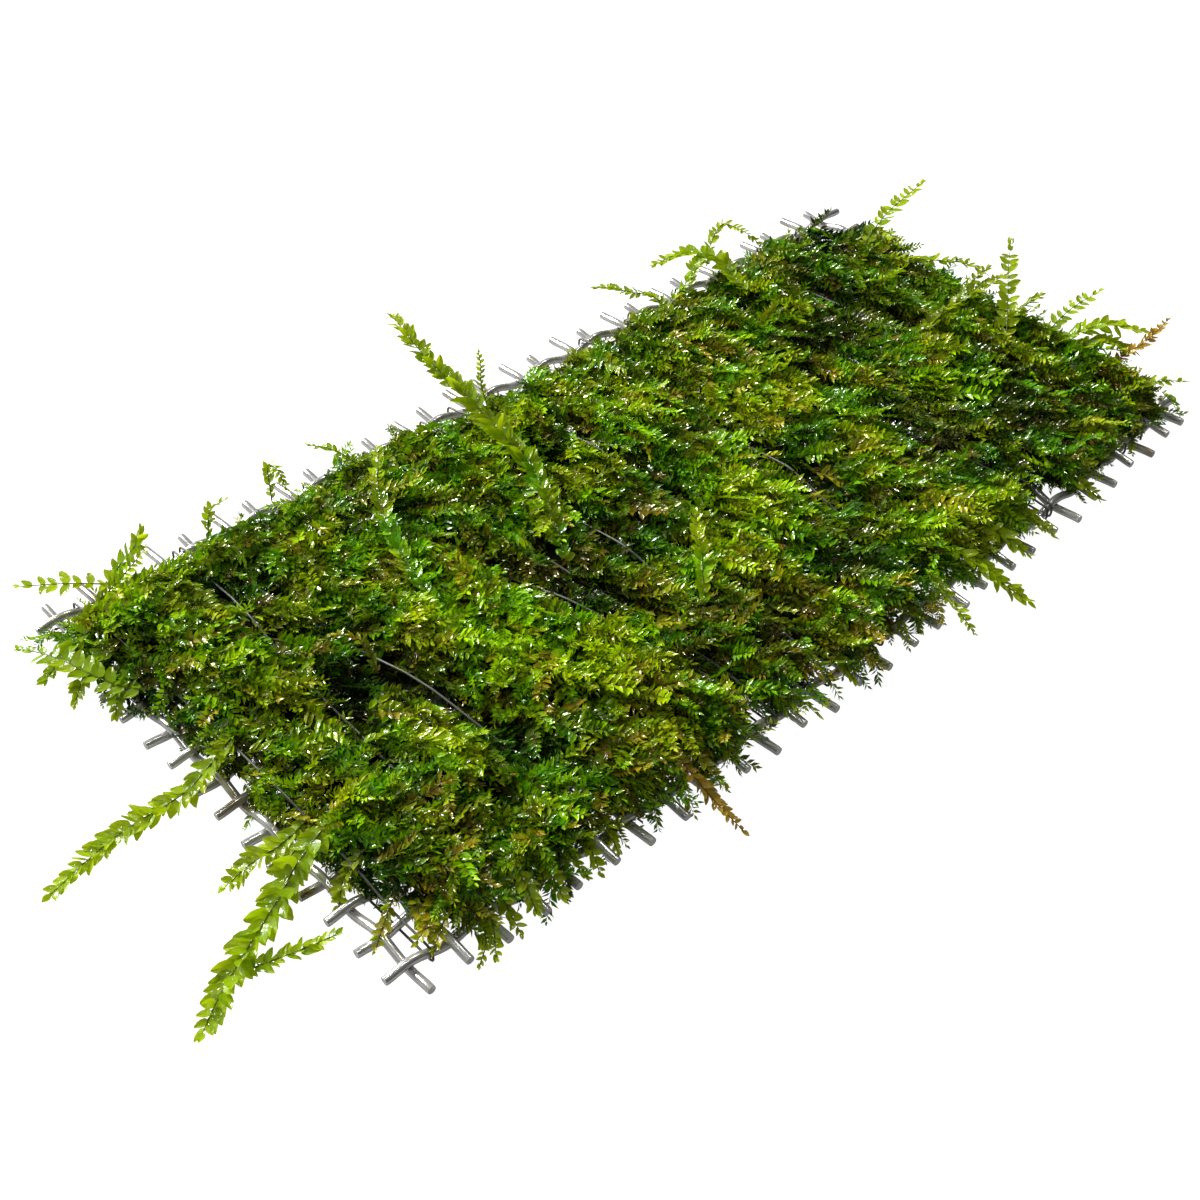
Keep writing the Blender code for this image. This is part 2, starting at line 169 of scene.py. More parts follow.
# The share of the way along, and the place across, of each point of a rod, set out on a route.
# Across gives the sideways direction that the rod's Y axis keeps.
def layRod(points, route, radius, across):
    route = np.asarray(route, float)
    places = np.linspace(0, 1, len(route))
    share = np.clip(points[:, 0], 0, 1)
    centre = np.stack([np.interp(share, places, route[:, k]) for k in range(3)], axis=1)
    tangents = unit(np.gradient(route, axis=0))
    tangent = unit(np.stack([np.interp(share, places, tangents[:, k]) for k in range(3)], axis=1))
    side = unit(across - tangent * (tangent @ np.asarray(across, float))[:, None])
    up = np.cross(tangent, side)
    if np.ndim(radius) > 0:
        radius = np.interp(share, np.linspace(0, 1, len(radius)), radius)[:, None]
    return centre + (side * points[:, 1:2] + up * points[:, 2:3]) * radius


# A piece from points in millimetres and triangles, with the four growth values at each point
def trianglePiece(name, points, corners, growth, material, slot):
    mesh = bpy.data.meshes.new(name)
    mesh.vertices.add(len(points))
    mesh.loops.add(len(corners) * 3)
    mesh.polygons.add(len(corners))
    writePoints(mesh, points)
    mesh.loops.foreach_set("vertex_index", corners.astype(np.int32).ravel())
    mesh.polygons.foreach_set("loop_start", np.arange(len(corners), dtype=np.int32) * 3)
    mesh.update(calc_edges=True)
    layer = mesh.attributes.new("growth", "FLOAT_COLOR", "POINT")
    layer.data.foreach_set("color", growth.astype(np.float32).ravel())
    mesh.validate()
    mesh.shade_smooth()
    mesh.materials.append(material)
    piece = bpy.data.objects.new(name, mesh)
    bpy.context.scene.collection.objects.link(piece)
    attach(piece, "root")
    return piece


# Materials


def addNode(tree, kind, place, **values):
    node = tree.nodes.new(kind)
    node.location = place
    for key, value in values.items():
        setattr(node, key, value)
    return node


# Link a socket to another one, or set it to a plain value
def feed(tree, socket, value):
    if isinstance(value, bpy.types.NodeSocket):
        tree.links.new(value, socket)
    else:
        socket.default_value = value


# Each of these adds one node and returns its output
def objectPlace(tree, place):
    return addNode(tree, "ShaderNodeTexCoord", place).outputs["Object"]


def noiseNode(tree, place, source, scale, detail, distortion=0):
    node = addNode(tree, "ShaderNodeTexNoise", place)
    node.inputs["Scale"].default_value = scale
    node.inputs["Detail"].default_value = detail
    node.inputs["Distortion"].default_value = distortion
    tree.links.new(source, node.inputs["Vector"])
    return node.outputs["Fac"]


def rangeNode(tree, place, source, start=(0, 1), result=(0, 1)):
    node = addNode(tree, "ShaderNodeMapRange", place)
    for name, value in zip(("From Min", "From Max", "To Min", "To Max"), (*start, *result)):
        node.inputs[name].default_value = value
    tree.links.new(source, node.inputs["Value"])
    return node.outputs["Result"]


def mixNode(tree, place, factor, first, second, blend="MIX"):
    node = addNode(tree, "ShaderNodeMix", place, data_type="RGBA", blend_type=blend)
    for name, value in (("Factor", factor), ("A", first), ("B", second)):
        feed(tree, node.inputs[name], value)
    return node.outputs["Result"]


# First times factor, plus second
def sumNode(tree, place, first, factor, second):
    node = addNode(tree, "ShaderNodeMath", place, operation="MULTIPLY_ADD")
    for number, value in enumerate((first, factor, second)):
        feed(tree, node.inputs[number], value)
    return node.outputs[0]


def rampNode(tree, place, source, stops):
    node = addNode(tree, "ShaderNodeValToRGB", place)
    ramp = node.color_ramp
    while len(ramp.elements) < len(stops):
        ramp.elements.new(0.5)
    for element, (position, colour) in zip(ramp.elements, stops):
        element.position = position
        element.color = (*colour, 1)
    tree.links.new(source, node.inputs["Fac"])
    return node.outputs["Color"]


def addBump(tree, shader, height, strength, distance):
    bump = addNode(tree, "ShaderNodeBump", (-200, -250))
    bump.inputs["Strength"].default_value = strength
    bump.inputs["Distance"].default_value = distance
    tree.links.new(height, bump.inputs["Height"])
    tree.links.new(bump.outputs["Normal"], shader.inputs["Normal"])


def newMaterial(name):
    material = bpy.data.materials.new(name)
    material.use_nodes = True
    tree = material.node_tree
    return material, tree, tree.nodes["Principled BSDF"]


# A node group whose inputs and outputs are given as name and kind
def newGroup(name, inputs, outputs):
    group = bpy.data.node_groups.new(name, "ShaderNodeTree")
    for side, sockets in (("INPUT", inputs), ("OUTPUT", outputs)):
        for socket, kind in sockets.items():
            group.interface.new_socket(socket, in_out=side, socket_type="NodeSocket" + kind)
    ins = addNode(group, "NodeGroupInput", (-1200, 0))
    outs = addNode(group, "NodeGroupOutput", (900, 0))
    return group, ins.outputs, outs.inputs


# Leaf colour from the growth values: tone from deep shade to young tips, then drying, then stem
def leafTintGroup():
    colours = {name: "Color" for name in ("Growth", "Deep", "Old", "Green", "Young", "Olive")}
    group, ins, outs = newGroup("leafTint", {**colours, "Stem": "Float", "Lift": "Float"},
                                {"Color": "Color", "Height": "Float", "Glint": "Float"})
    link = group.links.new
    parts = addNode(group, "ShaderNodeSeparateColor", (-1000, 200))
    link(ins["Growth"], parts.inputs["Color"])
    place = objectPlace(group, (-1200, -400))
    patches = noiseNode(group, (-1000, -200), place, 130, 3)
    speckle = noiseNode(group, (-1000, -500), place, 3400, 2)
    tone = sumNode(group, (-780, 200), patches, 0.30, parts.outputs["Red"])
    tone = sumNode(group, (-600, 200), speckle, 0.22, tone)
    tone = sumNode(group, (-420, 200), parts.outputs["Blue"], 0.16, tone)
    tone = sumNode(group, (-260, 200), tone, 1.0, ins["Lift"])
    # all but the brightest leaves turn olive in patches
    hues = noiseNode(group, (-1000, -800), place, 210, 2)
    aged = sumNode(group, (-600, -800), tone, -1.65, 1.9)
    oliveShare = addNode(group, "ShaderNodeMath", (-420, -800), operation="MULTIPLY", use_clamp=True)
    link(rangeNode(group, (-780, -800), hues, (0.42, 0.60)), oliveShare.inputs[0])
    link(aged, oliveShare.inputs[1])
    colour = ins["Deep"]
    ages = (("Old", 0.10, 0.34), ("Green", 0.34, 0.64), ("Young", 0.64, 1.02))
    for number, (name, low, high) in enumerate(ages):
        share = rangeNode(group, (-80, 300 - 260 * number), tone, (low, high))
        colour = mixNode(group, (120 + 180 * number, 200), share, colour, ins[name])
    colour = mixNode(group, (480, 260), oliveShare.outputs[0], colour, ins["Olive"], "MULTIPLY")
    dry = rampNode(group, (120, -500), tone, (
        (0.0, (0.012, 0.007, 0.001)), (0.35, (0.065, 0.038, 0.002)), (0.62, (0.18, 0.115, 0.004)),
        (0.9, (0.44, 0.31, 0.016))))
    colour = mixNode(group, (560, 60), parts.outputs["Green"], colour, dry)
    colour = mixNode(group, (720, 60), ins["Stem"], colour, (0.085, 0.075, 0.008, 1))
    drops = noiseNode(group, (120, -900), place, 5000, 1)
    link(colour, outs["Color"])
    link(speckle, outs["Height"])
    link(rangeNode(group, (340, -900), drops, (0.53, 0.585)), outs["Glint"])
    return group


leafTint = leafTintGroup()

leafFinish = {
    "mossLeaf": {
        "Deep": (0.002, 0.008, 0.0002), "Old": (0.015, 0.060, 0.0003), "Green": (0.066, 0.23, 0.0004),
        "Young": (0.27, 0.53, 0.0006), "Olive": (2.5, 0.84, 0.7), "lift": -0.29, "through": 0.24,
        "gloss": 0.08, "wet": 2.0, "ripple": 0.8,
        "lit": ((0.0, (0.01, 0.04, 0.001)), (0.5, (0.14, 0.38, 0.002)), (1.0, (0.50, 0.76, 0.006))),
    },
    "frondLeaf": {
        "Deep": (0.02, 0.06, 0.0005), "Old": (0.06, 0.14, 0.0006), "Green": (0.15, 0.27, 0.001),
        "Young": (0.34, 0.47, 0.003), "Olive": (1.25, 1.0, 0.9), "lift": -0.26, "through": 0.46,
        "gloss": 0.2, "wet": 1.7, "ripple": 0.5,
        "lit": ((0.0, (0.07, 0.15, 0.001)), (0.5, (0.32, 0.46, 0.002)), (1.0, (0.68, 0.78, 0.006))),
    },
    "witheredLeaf": {
        "Deep": (0.05, 0.02, 0.003), "Old": (0.16, 0.07, 0.010), "Green": (0.40, 0.22, 0.02),
        "Young": (0.62, 0.45, 0.06), "Olive": (1.0, 1.0, 1.0), "lift": -0.20, "through": 0.40,
        "gloss": 0.2, "wet": 1.7, "ripple": 0.6,
        "lit": ((0.0, (0.25, 0.12, 0.02)), (0.5, (0.60, 0.38, 0.05)), (1.0, (0.85, 0.65, 0.12))),
    },
}
leafRoughness = 0.34
dropRoughness = 0.08


def leafMaterial(name):
    look = leafFinish[name]
    material, tree, shader = newMaterial(name)
    link = tree.links.new
    values = addNode(tree, "ShaderNodeAttribute", (-900, 0), attribute_name="growth")
    tint = addNode(tree, "ShaderNodeGroup", (-600, 0), node_tree=leafTint)
    for key in ("Deep", "Old", "Green", "Young", "Olive"):
        tint.inputs[key].default_value = (*look[key], 1)
    tint.inputs["Lift"].default_value = look["lift"]
    link(values.outputs["Color"], tint.inputs["Growth"])
    link(values.outputs["Alpha"], tint.inputs["Stem"])
    link(tint.outputs["Color"], shader.inputs["Base Color"])
    addBump(tree, shader, tint.outputs["Height"], look["ripple"], 0.0001)
    shader.inputs["Roughness"].default_value = leafRoughness
    shader.inputs["Specular IOR Level"].default_value = look["gloss"]
    link(tint.outputs["Glint"], shader.inputs["Coat Weight"])
    shader.inputs["Coat Roughness"].default_value = dropRoughness
    shader.inputs["Coat IOR"].default_value = look["wet"]
    split = addNode(tree, "ShaderNodeSeparateColor", (-600, 320))
    link(values.outputs["Color"], split.inputs["Color"])
    # light that comes through the leaf
    through = addNode(tree, "ShaderNodeBsdfTranslucent", (0, 320))
    link(rampNode(tree, (-420, 320), split.outputs["Red"], look["lit"]), through.inputs["Color"])
    both = addNode(tree, "ShaderNodeMixShader", (300, 200))
    both.inputs[0].default_value = look["through"]
    link(shader.outputs["BSDF"], both.inputs[1])
    link(through.outputs["BSDF"], both.inputs[2])
    link(both.outputs["Shader"], tree.nodes["Material Output"].inputs["Surface"])
    return material


mossLeaf = leafMaterial("mossLeaf")
frondLeaf = leafMaterial("frondLeaf")
witheredLeaf = leafMaterial("witheredLeaf")


# Fine lines drawn along a wire, in colour, roughness and height
def drawnLinesGroup():
    group, ins, outs = newGroup("drawnLines", {"Vector": "Vector", "Bright": "Color", "Dull": "Color"},
                                {"Color": "Color", "Roughness": "Float", "Height": "Float"})
    lines = noiseNode(group, (-650, 100), ins["Vector"], 5200, 2)
    stains = noiseNode(group, (-650, -250), objectPlace(group, (-900, -300)), 210, 4)
    stainMask = rangeNode(group, (-430, -250), stains, (0.56, 0.74))
    tarnish = mixNode(group, (-200, 150), stainMask, ins["Bright"], ins["Dull"])
    shade = rangeNode(group, (-430, 100), lines, result=(0.72, 1.15))
    group.links.new(mixNode(group, (100, 150), 1, tarnish, shade, "MULTIPLY"), outs["Color"])
    group.links.new(rangeNode(group, (100, -100), lines, result=(0.17, 0.22)), outs["Roughness"])
    group.links.new(lines, outs["Height"])
    return group


drawnLines = drawnLinesGroup()


# Stretch draws the noise out into lines along the wire
def wireMaterial(name, stretch):
    material, tree, shader = newMaterial(name)
    link = tree.links.new
    mapping = addNode(tree, "ShaderNodeMapping", (-700, 0))
    mapping.inputs["Scale"].default_value = stretch
    lines = addNode(tree, "ShaderNodeGroup", (-450, 0), node_tree=drawnLines)
    lines.inputs["Bright"].default_value = (0.54, 0.53, 0.505, 1)
    lines.inputs["Dull"].default_value = (0.24, 0.18, 0.10, 1)
    link(objectPlace(tree, (-900, 0)), mapping.inputs["Vector"])
    link(mapping.outputs["Vector"], lines.inputs["Vector"])
    link(lines.outputs["Color"], shader.inputs["Base Color"])
    link(lines.outputs["Roughness"], shader.inputs["Roughness"])
    addBump(tree, shader, lines.outputs["Height"], 0.01, 0.00004)
    shader.inputs["Metallic"].default_value = 0.65
    return material


longSteel = wireMaterial("longSteel", (0.03, 1, 1))
shortSteel = wireMaterial("shortSteel", (1, 0.03, 1))


def threadMaterial():
    material, tree, shader = newMaterial("greyNylon")
    film = noiseNode(tree, (-500, 0), objectPlace(tree, (-700, 0)), 260, 3)
    tint = rampNode(tree, (-300, 0), film, (
        (0.35, (0.035, 0.04, 0.025)), (0.55, (0.075, 0.075, 0.06)), (0.75, (0.03, 0.04, 0.01))))
    tree.links.new(tint, shader.inputs["Base Color"])
    shader.inputs["Roughness"].default_value = 0.42
    shader.inputs["Specular IOR Level"].default_value = 0.3
    return material


greyNylon = threadMaterial()


# Matted moss whose near-black colours are painted shade for the depths of the mat
def coreMaterial():
    material, tree, shader = newMaterial("mattedMossPaintedShade")
    tangle = noiseNode(tree, (-650, 100), objectPlace(tree, (-900, 0)), 1100, 5, 2.5)
    tint = rampNode(tree, (-400, 100), tangle, (
        (0.3, (0.001, 0.002, 0.0003)), (0.55, (0.004, 0.008, 0.0005)), (0.72, (0.020, 0.020, 0.002))))
    tree.links.new(tint, shader.inputs["Base Color"])
    addBump(tree, shader, tangle, 0.9, 0.0004)
    shader.inputs["Roughness"].default_value = 0.7
    shader.inputs["Specular IOR Level"].default_value = 0.06
    return material


mattedMossPaintedShade = coreMaterial()
print("materials made")

# Wires

wireLook = {
    "radius": 0.39,
    "sides": 12,
    "swing": 1.04,  # of the swing of the square CAD wires, so that the round ones just clear
    "middle": 0.81,
    "relax": 0.45,  # how much of its last bend a cut end keeps
    "endWidth": 0.96,  # of the radius, at a cut end
    "endInset": 0.10,
    "stepsPerPitch": 8,
}


# The wavy middle line of a wire through its crossings, with its ends springing back level
def wavyLine(line):
    line = line.copy()
    level = (line[:, 2].max() + line[:, 2].min()) / 2
    line[:, 2] = wireLook["middle"] + (line[:, 2] - level) * wireLook["swing"]
    for end in (0, -1):
        bend = line[end, 2] - wireLook["middle"]
        line[end, 2] = wireLook["middle"] + bend * wireLook["relax"]
    steps = wireLook["stepsPerPitch"]
    points = []
    for k in range(len(line) - 1):
        for step in range(steps):
            share = step / steps
            point = line[k] * (1 - share) + line[k + 1] * share
            rise = (1 - math.cos(math.pi * share)) / 2
            point[2] = line[k, 2] * (1 - rise) + line[k + 1, 2] * rise
            points.append(point)
    points.append(line[-1])
    return np.array(points)


# The straight master of the wires, with a slightly narrower cut face at each end
def wireMaster(cells):
    rod = straightRod(wireLook["sides"], (cells - 1, wireLook["stepsPerPitch"] - 1))
    onlySelect(rod)
    bpy.ops.object.mode_set(mode="EDIT")
    pickEdges(rod, lambda a, b: abs(a.x - b.x) < 1e-5 and min(a.x, 1 - a.x) < 1e-4)
    width = wireLook["endWidth"]
    bpy.ops.transform.resize(value=(1, width, width), center_override=(0.5, 0, 0))
    bpy.ops.mesh.select_mode(type="FACE")
    bpy.ops.mesh.select_all(action="DESELECT")
    shape = bmesh.from_edit_mesh(rod.data)
    for face in shape.faces:
        face.select_set(len(face.verts) == wireLook["sides"])
    bmesh.update_edit_mesh(rod.data)
    bpy.ops.mesh.inset(thickness=wireLook["endInset"], depth=0)
    bpy.ops.object.mode_set(mode="OBJECT")
    print("wire master:", cells, "cells long")
    return rod


def makeWires(names, lines, across, material, label):
    master = wireMaster(len(lines[0]) - 1)
    points = readPoints(master.data)
    for number, (name, line) in enumerate(zip(names, lines)):
        wire = master.copy()
        wire.data = master.data.copy()
        wire.name = f"{label}{number + 1:02d}"
        bpy.context.scene.collection.objects.link(wire)
        writePoints(wire.data, layRod(points, wavyLine(line), wireLook["radius"], across))
        wire.data.update()
        onlySelect(wire)
        bpy.ops.object.shade_smooth_by_angle(angle=math.radians(40))
        wire.data.materials.append(material)
        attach(wire, "root")
        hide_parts(name)
    removePiece(master)


makeWires(longNames, longLines, np.array((0.0, 1.0, 0.0)), longSteel, "wireLong")
makeWires(shortNames, shortLines, np.array((1.0, 0.0, 0.0)), shortSteel, "wireShort")
print("wires made:", len(longNames) + len(shortNames))

# The moss's form, from its CAD solid

mossPoints, mossCorners = meshArrays(nodes["moss_mat"])
mossPoints = mossPoints / mm - zero
mossBottom = mossPoints[:, 2].min()
noMoss = mossBottom + 0.05  # a top lower than this is outside the moss
mossTree = BVHTree.FromPolygons([Vector(point) for point in mossPoints], mossCorners.tolist())


def mossTop(x, y):
    hit = mossTree.ray_cast(Vector((x, y, 30)), Vector((0, 0, -1)))[0]
    return mossBottom if hit is None else hit.z


# Thread

# Stretches of the thread that the photograph shows bare, as columns and rows of the mesh
bareThread = (
    ((0.38, 8.1), (0.58, 7.2)), ((0.57, 5.7), (0.75, 4.7)), ((3.15, 11.0), (3.27, 9.8)),
    ((2.6, 5.5), (2.66, 4.5)), ((4.5, 6.8), (4.9, 2.6)), ((8.7, 7.0), (8.8, 6.4)),
    ((9.8, 6.5), (9.8, 5.5)), ((9.2, 5.7), (9.4, 4.4)), ((11.4, 7.1), (11.4, 4.6)),
    ((12.3, 1.0), (12.2, -0.2)), ((13.9, 10.9), (13.7, 9.9)), ((13.8, 8.8), (13.8, 8.4)),
    ((14.0, 5.1), (14.1, 4.4)), ((17.0, 6.2), (16.1, 1.4)), ((19.5, 12.3), (20.2, 9.3)),
    ((20.8, 1.9), (20.9, 0.2)), ((21.5, 6.0), (21.7, 4.1)), ((23.5, 10.6), (24.3, 6.7)),
)


def threadDistance(places):
    nearest = np.full(len(places), 99.0)
    for start, stop in bareThread:
        a = np.array(start) * pitch
        b = np.array(stop) * pitch
        share = np.clip((places[:, :2] - a) @ (b - a) / ((b - a) @ (b - a)), 0, 1)
        nearest = np.minimum(nearest, np.linalg.norm(places[:, :2] - a - share[:, None] * (b - a),
                                                     axis=1))
    return nearest


threadLook = {
    "radius": 0.11,
    "lift": 0.40,  # along a bare stretch, before smoothing
    "sunk": -0.9,  # where the moss covers it
    "below": 0.17,
    "outside": 0.56,
    "lowest": 1.75,  # on top of the mesh
    "bareReach": 0.6,  # a point this near a bare stretch is lifted
    "stepRows": (6.4, 6.6),  # where it steps sideways under the mesh
    "topSteps": 30,
    "cornerRadius": 0.5,
}
# Columns where each turn goes round the far long wire and then, across the moss, the near one
turns = (
    (0.5, 0.5), (3.4, 2.5), (3.6, 5.5), (7.5, 10.4), (9.5, 10.6), (11.5, 11.5), (12.5, 12.5),
    (13.5, 14.5), (17.5, 16.5), (19.5, 21.4), (21.5, 21.6), (23.5, 25.5), (25.5, 26.5),
)


def threadRoute():
    outside = np.array((0.0, threadLook["outside"]))
    meshTop = 2 * wireLook["middle"]
    route = []
    for number, (far, near) in enumerate(turns):
        farEdge, nearEdge = meshPoint(far, lastRow), meshPoint(near, 0)
        route.append((*(farEdge + outside), threadLook["below"]))
        route.append((*(farEdge + outside), meshTop))
        heights = []
        places = []
        for k in range(threadLook["topSteps"] + 1):
            share = 0.02 + 0.96 * k / threadLook["topSteps"]
            x, y = farEdge * (1 - share) + nearEdge * share
            places.append((x, y))
            heights.append(mossTop(x, y) + threadLook["radius"])
        bare = threadDistance(np.array(places)) < threadLook["bareReach"]
        heights = heights + np.where(bare, threadLook["lift"], threadLook["sunk"])
        smooth = np.convolve(np.pad(heights, 2, mode="edge"), np.ones(5) / 5, mode="valid")
        smooth[0], smooth[-1] = heights[0], heights[-1]
        route += [(x, y, max(z, threadLook["lowest"])) for (x, y), z in zip(places, smooth)]
        route.append((*(nearEdge - outside), meshTop))
        route.append((*(nearEdge - outside), threadLook["below"]))
        if number + 1 < len(turns):
            for column, row in zip((near, turns[number + 1][0]), threadLook["stepRows"]):
                route.append((*meshPoint(column, row), threadLook["below"]))
    return np.array(route)


# Replace each corner by a short curve
def roundCorners(route, radius, steps=4):
    points = [route[0]]
    for before, corner, after in zip(route, route[1:], route[2:]):
        back, ahead = before - corner, after - corner
        reach = min(radius, np.linalg.norm(back) / 2, np.linalg.norm(ahead) / 2)
        start, stop = corner + unit(back) * reach, corner + unit(ahead) * reach
        for k in range(steps):
            t = k / (steps - 1)
            points.append(start * (1 - t) ** 2 + corner * 2 * t * (1 - t) + stop * t ** 2)
    points.append(route[-1])
    return np.array(points)


def makeThread():
    route = roundCorners(threadRoute(), threadLook["cornerRadius"])
    rod = straightRod(6, (44, 40))
    points, _ = meshArrays(rod)
    # sideways is along X, because the thread runs in the YZ plane or nearly, but for its steps
    # under the mesh
    placed = layRod(points, route, threadLook["radius"], np.array((1.0, 0.0, 0.0)))
    writePoints(rod.data, placed)
    rod.data.update()
    rod.name = "tieThread"
    onlySelect(rod)
    bpy.ops.object.shade_smooth()
    rod.data.materials.append(greyNylon)
    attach(rod, "root")
    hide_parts("tie_thread")


makeThread()
print("thread wound:", len(turns), "turns")

# Matted core of the moss, under the shoots

# Where the moss is bright (raised, young and with painted light), hollow (sunk, with painted shade) or
# dry: x, y, reach in mm, strength
mossPatches = {
    "bright": (
        (5, 45, 4, 0.22), (5, 34, 4, 0.12), (6, 26, 4, 0.08), (28, 39, 4, 0.14), (23, 19, 4, 0.20),
        (20, 13, 4, 0.18), (29, 11, 5, 0.22), (31, 4, 4, 0.10), (30, 29, 4, 0.12),
        (42, 38, 5, 0.26), (54, 33, 5, 0.22), (44, 28, 4, 0.10), (53, 16, 5, 0.20),
        (44, 14, 3, 0.22), (73, 21, 5, 0.14), (61, 3, 4, 0.26), (66, 2, 3, 0.26),
        (64, 28, 4, 0.12), (76, 36, 4, 0.12), (80, 18, 4, 0.12), (84, 8, 3, 0.14),
        (42, 2, 3, 0.14), (17, 2, 4, 0.14), (10, 9, 4, 0.14), (24, -1, 3, 0.14), (4, 18, 4, 0.14),
        (20, 25, 4, 0.12), (10, -1, 3, 0.20), (67, 37, 4, 0.12), (65, 12, 4, 0.10),
    ),
    "hollow": (
        (12, 23, 3.5, 0.40), (12, 39, 4, 0.22), (0, 34, 3, 0.20), (46, 35, 3, 0.26),
        (34, 18, 3.5, 0.26), (44, 22, 4, 0.22), (21, 23, 3, 0.16), (79, 29, 4, 0.24),
        (82, 10, 4, 0.38), (71, 14, 4, 0.22), (56, 28, 3, 0.18), (19, 7, 3, 0.18),
        (60, 15, 3, 0.18), (55, 5, 3, 0.24), (23, 40, 4, 0.16), (95, 45, 4.5, 0.50),
    ),
    "dry": (
        (41, 7, 6, 0.55), (36, 6, 4, 0.35), (43, 9, 3, 0.35), (72, 46, 4, 0.45), (92, 38, 5, 0.35),
        (75, 26, 5, 0.30), (91, 24, 5, 0.35), (3, 2, 4, 0.55), (14, 26, 3, 0.45),
        (49, -1, 3, 0.55), (91, 3, 4, 0.35), (-1, 45, 3, 0.45), (21, 0, 3, 0.30),
        (39, 26, 4, 0.30),
    ),
}


# Cells of the mesh left open: x, y, reach in mm
openCells = ((1.2, 3.4, 2.4), (0.2, 9.2, 1.6), (-0.4, 21.6, 1.8), (-1.6, 31.5, 2.2), (-2.4, 35.5, 1.6),
             (97.2, 46.2, 3.8), (94.6, 49.0, 3.0), (98.8, 41.4, 2.2), (98.6, 30.0, 1.8),
             (97.6, 0.6, 3.0), (99.6, 4.4, 2.0), (92.4, -1.4, 1.8), (88.4, -1.8, 1.6),
             (84.6, -2.0, 1.6), (81.0, -2.2, 1.5), (77.6, -2.4, 1.5), (-0.2, 48.4, 1.8), (-0.9, 15.8, 1.4))


def isOpen(places):
    hidden = np.zeros(len(places), bool)
    for x, y, reach in openCells:
        hidden |= (places[:, 0] - x) ** 2 + (places[:, 1] - y) ** 2 < reach ** 2
    return hidden


def patchValue(kind, places):
    total = np.zeros(len(places))
    for x, y, reach, strength in mossPatches[kind]:
        away = (places[:, 0] - x) ** 2 + (places[:, 1] - y) ** 2
        total += strength * np.exp(-away / reach ** 2)
    return total


def noiseAt(places, size, seed):
    return np.array([noise.noise(Vector((x / size, y / size, seed))) for x, y in places[:, :2]])


coreLook = {"spacing": 1.3, "height": 0.42, "sink": 0.5, "inset": 2.6, "lump": 0.7, "lumpSize": 2.2,
            "hollowDepth": 1.6, "thinnest": 0.1}


# A dark grid, its near-black colour painted shade for the depths of the mat, cut well inside the outline
# of the moss, which only leaves reach
def makeCore():
    low, high = mossPoints.min(axis=0), mossPoints.max(axis=0)
    span = high - low
    across = int(span[0] / coreLook["spacing"])
    down = int(span[1] / coreLook["spacing"])
    bpy.ops.mesh.primitive_grid_add(x_subdivisions=across, y_subdivisions=down, size=1,
                                    location=(0, 0, 0))
    core = bpy.context.active_object
    core.name = "mossCore"
    mesh = core.data
    points = readPoints(mesh)
    points[:, :2] = low[:2] + (points[:, :2] + 0.5) * span[:2]
    lumps = noiseAt(points, coreLook["lumpSize"], 6.1) * coreLook["lump"]
    outside = []
    rises = {}
    for (x, y, _), lump in zip(points, lumps):
        reach = coreLook["inset"] - 1.4 * lump
        ring = [(x + reach * math.cos(k * math.pi / 4), y + reach * math.sin(k * math.pi / 4))
                for k in range(8)]
        outside.append(min(mossTop(*place) for place in ring) <= noMoss)
        rise = (mossTop(x, y) - mossBottom) * coreLook["height"] - coreLook["sink"] + lump
        rise -= coreLook["hollowDepth"] * patchValue("hollow", np.array(((x, y),)))[0]
        rises[(round(x, 2), round(y, 2))] = mossBottom + max(rise, coreLook["thinnest"])
    points[:, 2] = mossBottom
    writePoints(mesh, points)
    onlySelect(core)
    bpy.ops.object.mode_set(mode="EDIT")
    drops = iter(outside)
    pickVerts(core, lambda co: next(drops))
    bpy.ops.mesh.delete(type="VERT")
    bpy.ops.mesh.select_all(action="SELECT")
    bpy.ops.mesh.delete_loose(use_faces=False)
    bpy.ops.mesh.select_all(action="SELECT")
    bpy.ops.mesh.extrude_region_move(TRANSFORM_OT_translate={"value": (0, 0, 0.001)})
    bpy.ops.mesh.select_all(action="SELECT")
    bpy.ops.mesh.normals_make_consistent(inside=False)
    shape = bmesh.from_edit_mesh(mesh)
    for vert in shape.verts:
        place = vert.co / mm
        if place.z > mossBottom + 0.5:
            key = (round(place.x - zero[0], 2), round(place.y - zero[1], 2))
            vert.co.z = rises[key] * mm
    bmesh.update_edit_mesh(mesh)
    bpy.ops.object.mode_set(mode="OBJECT")
    mesh.materials.append(mattedMossPaintedShade)
    mesh.shade_smooth()
    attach(core, "root")
    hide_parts("moss_mat")


makeCore()
print("core made")

# Leaves and sprigs, each modelled once


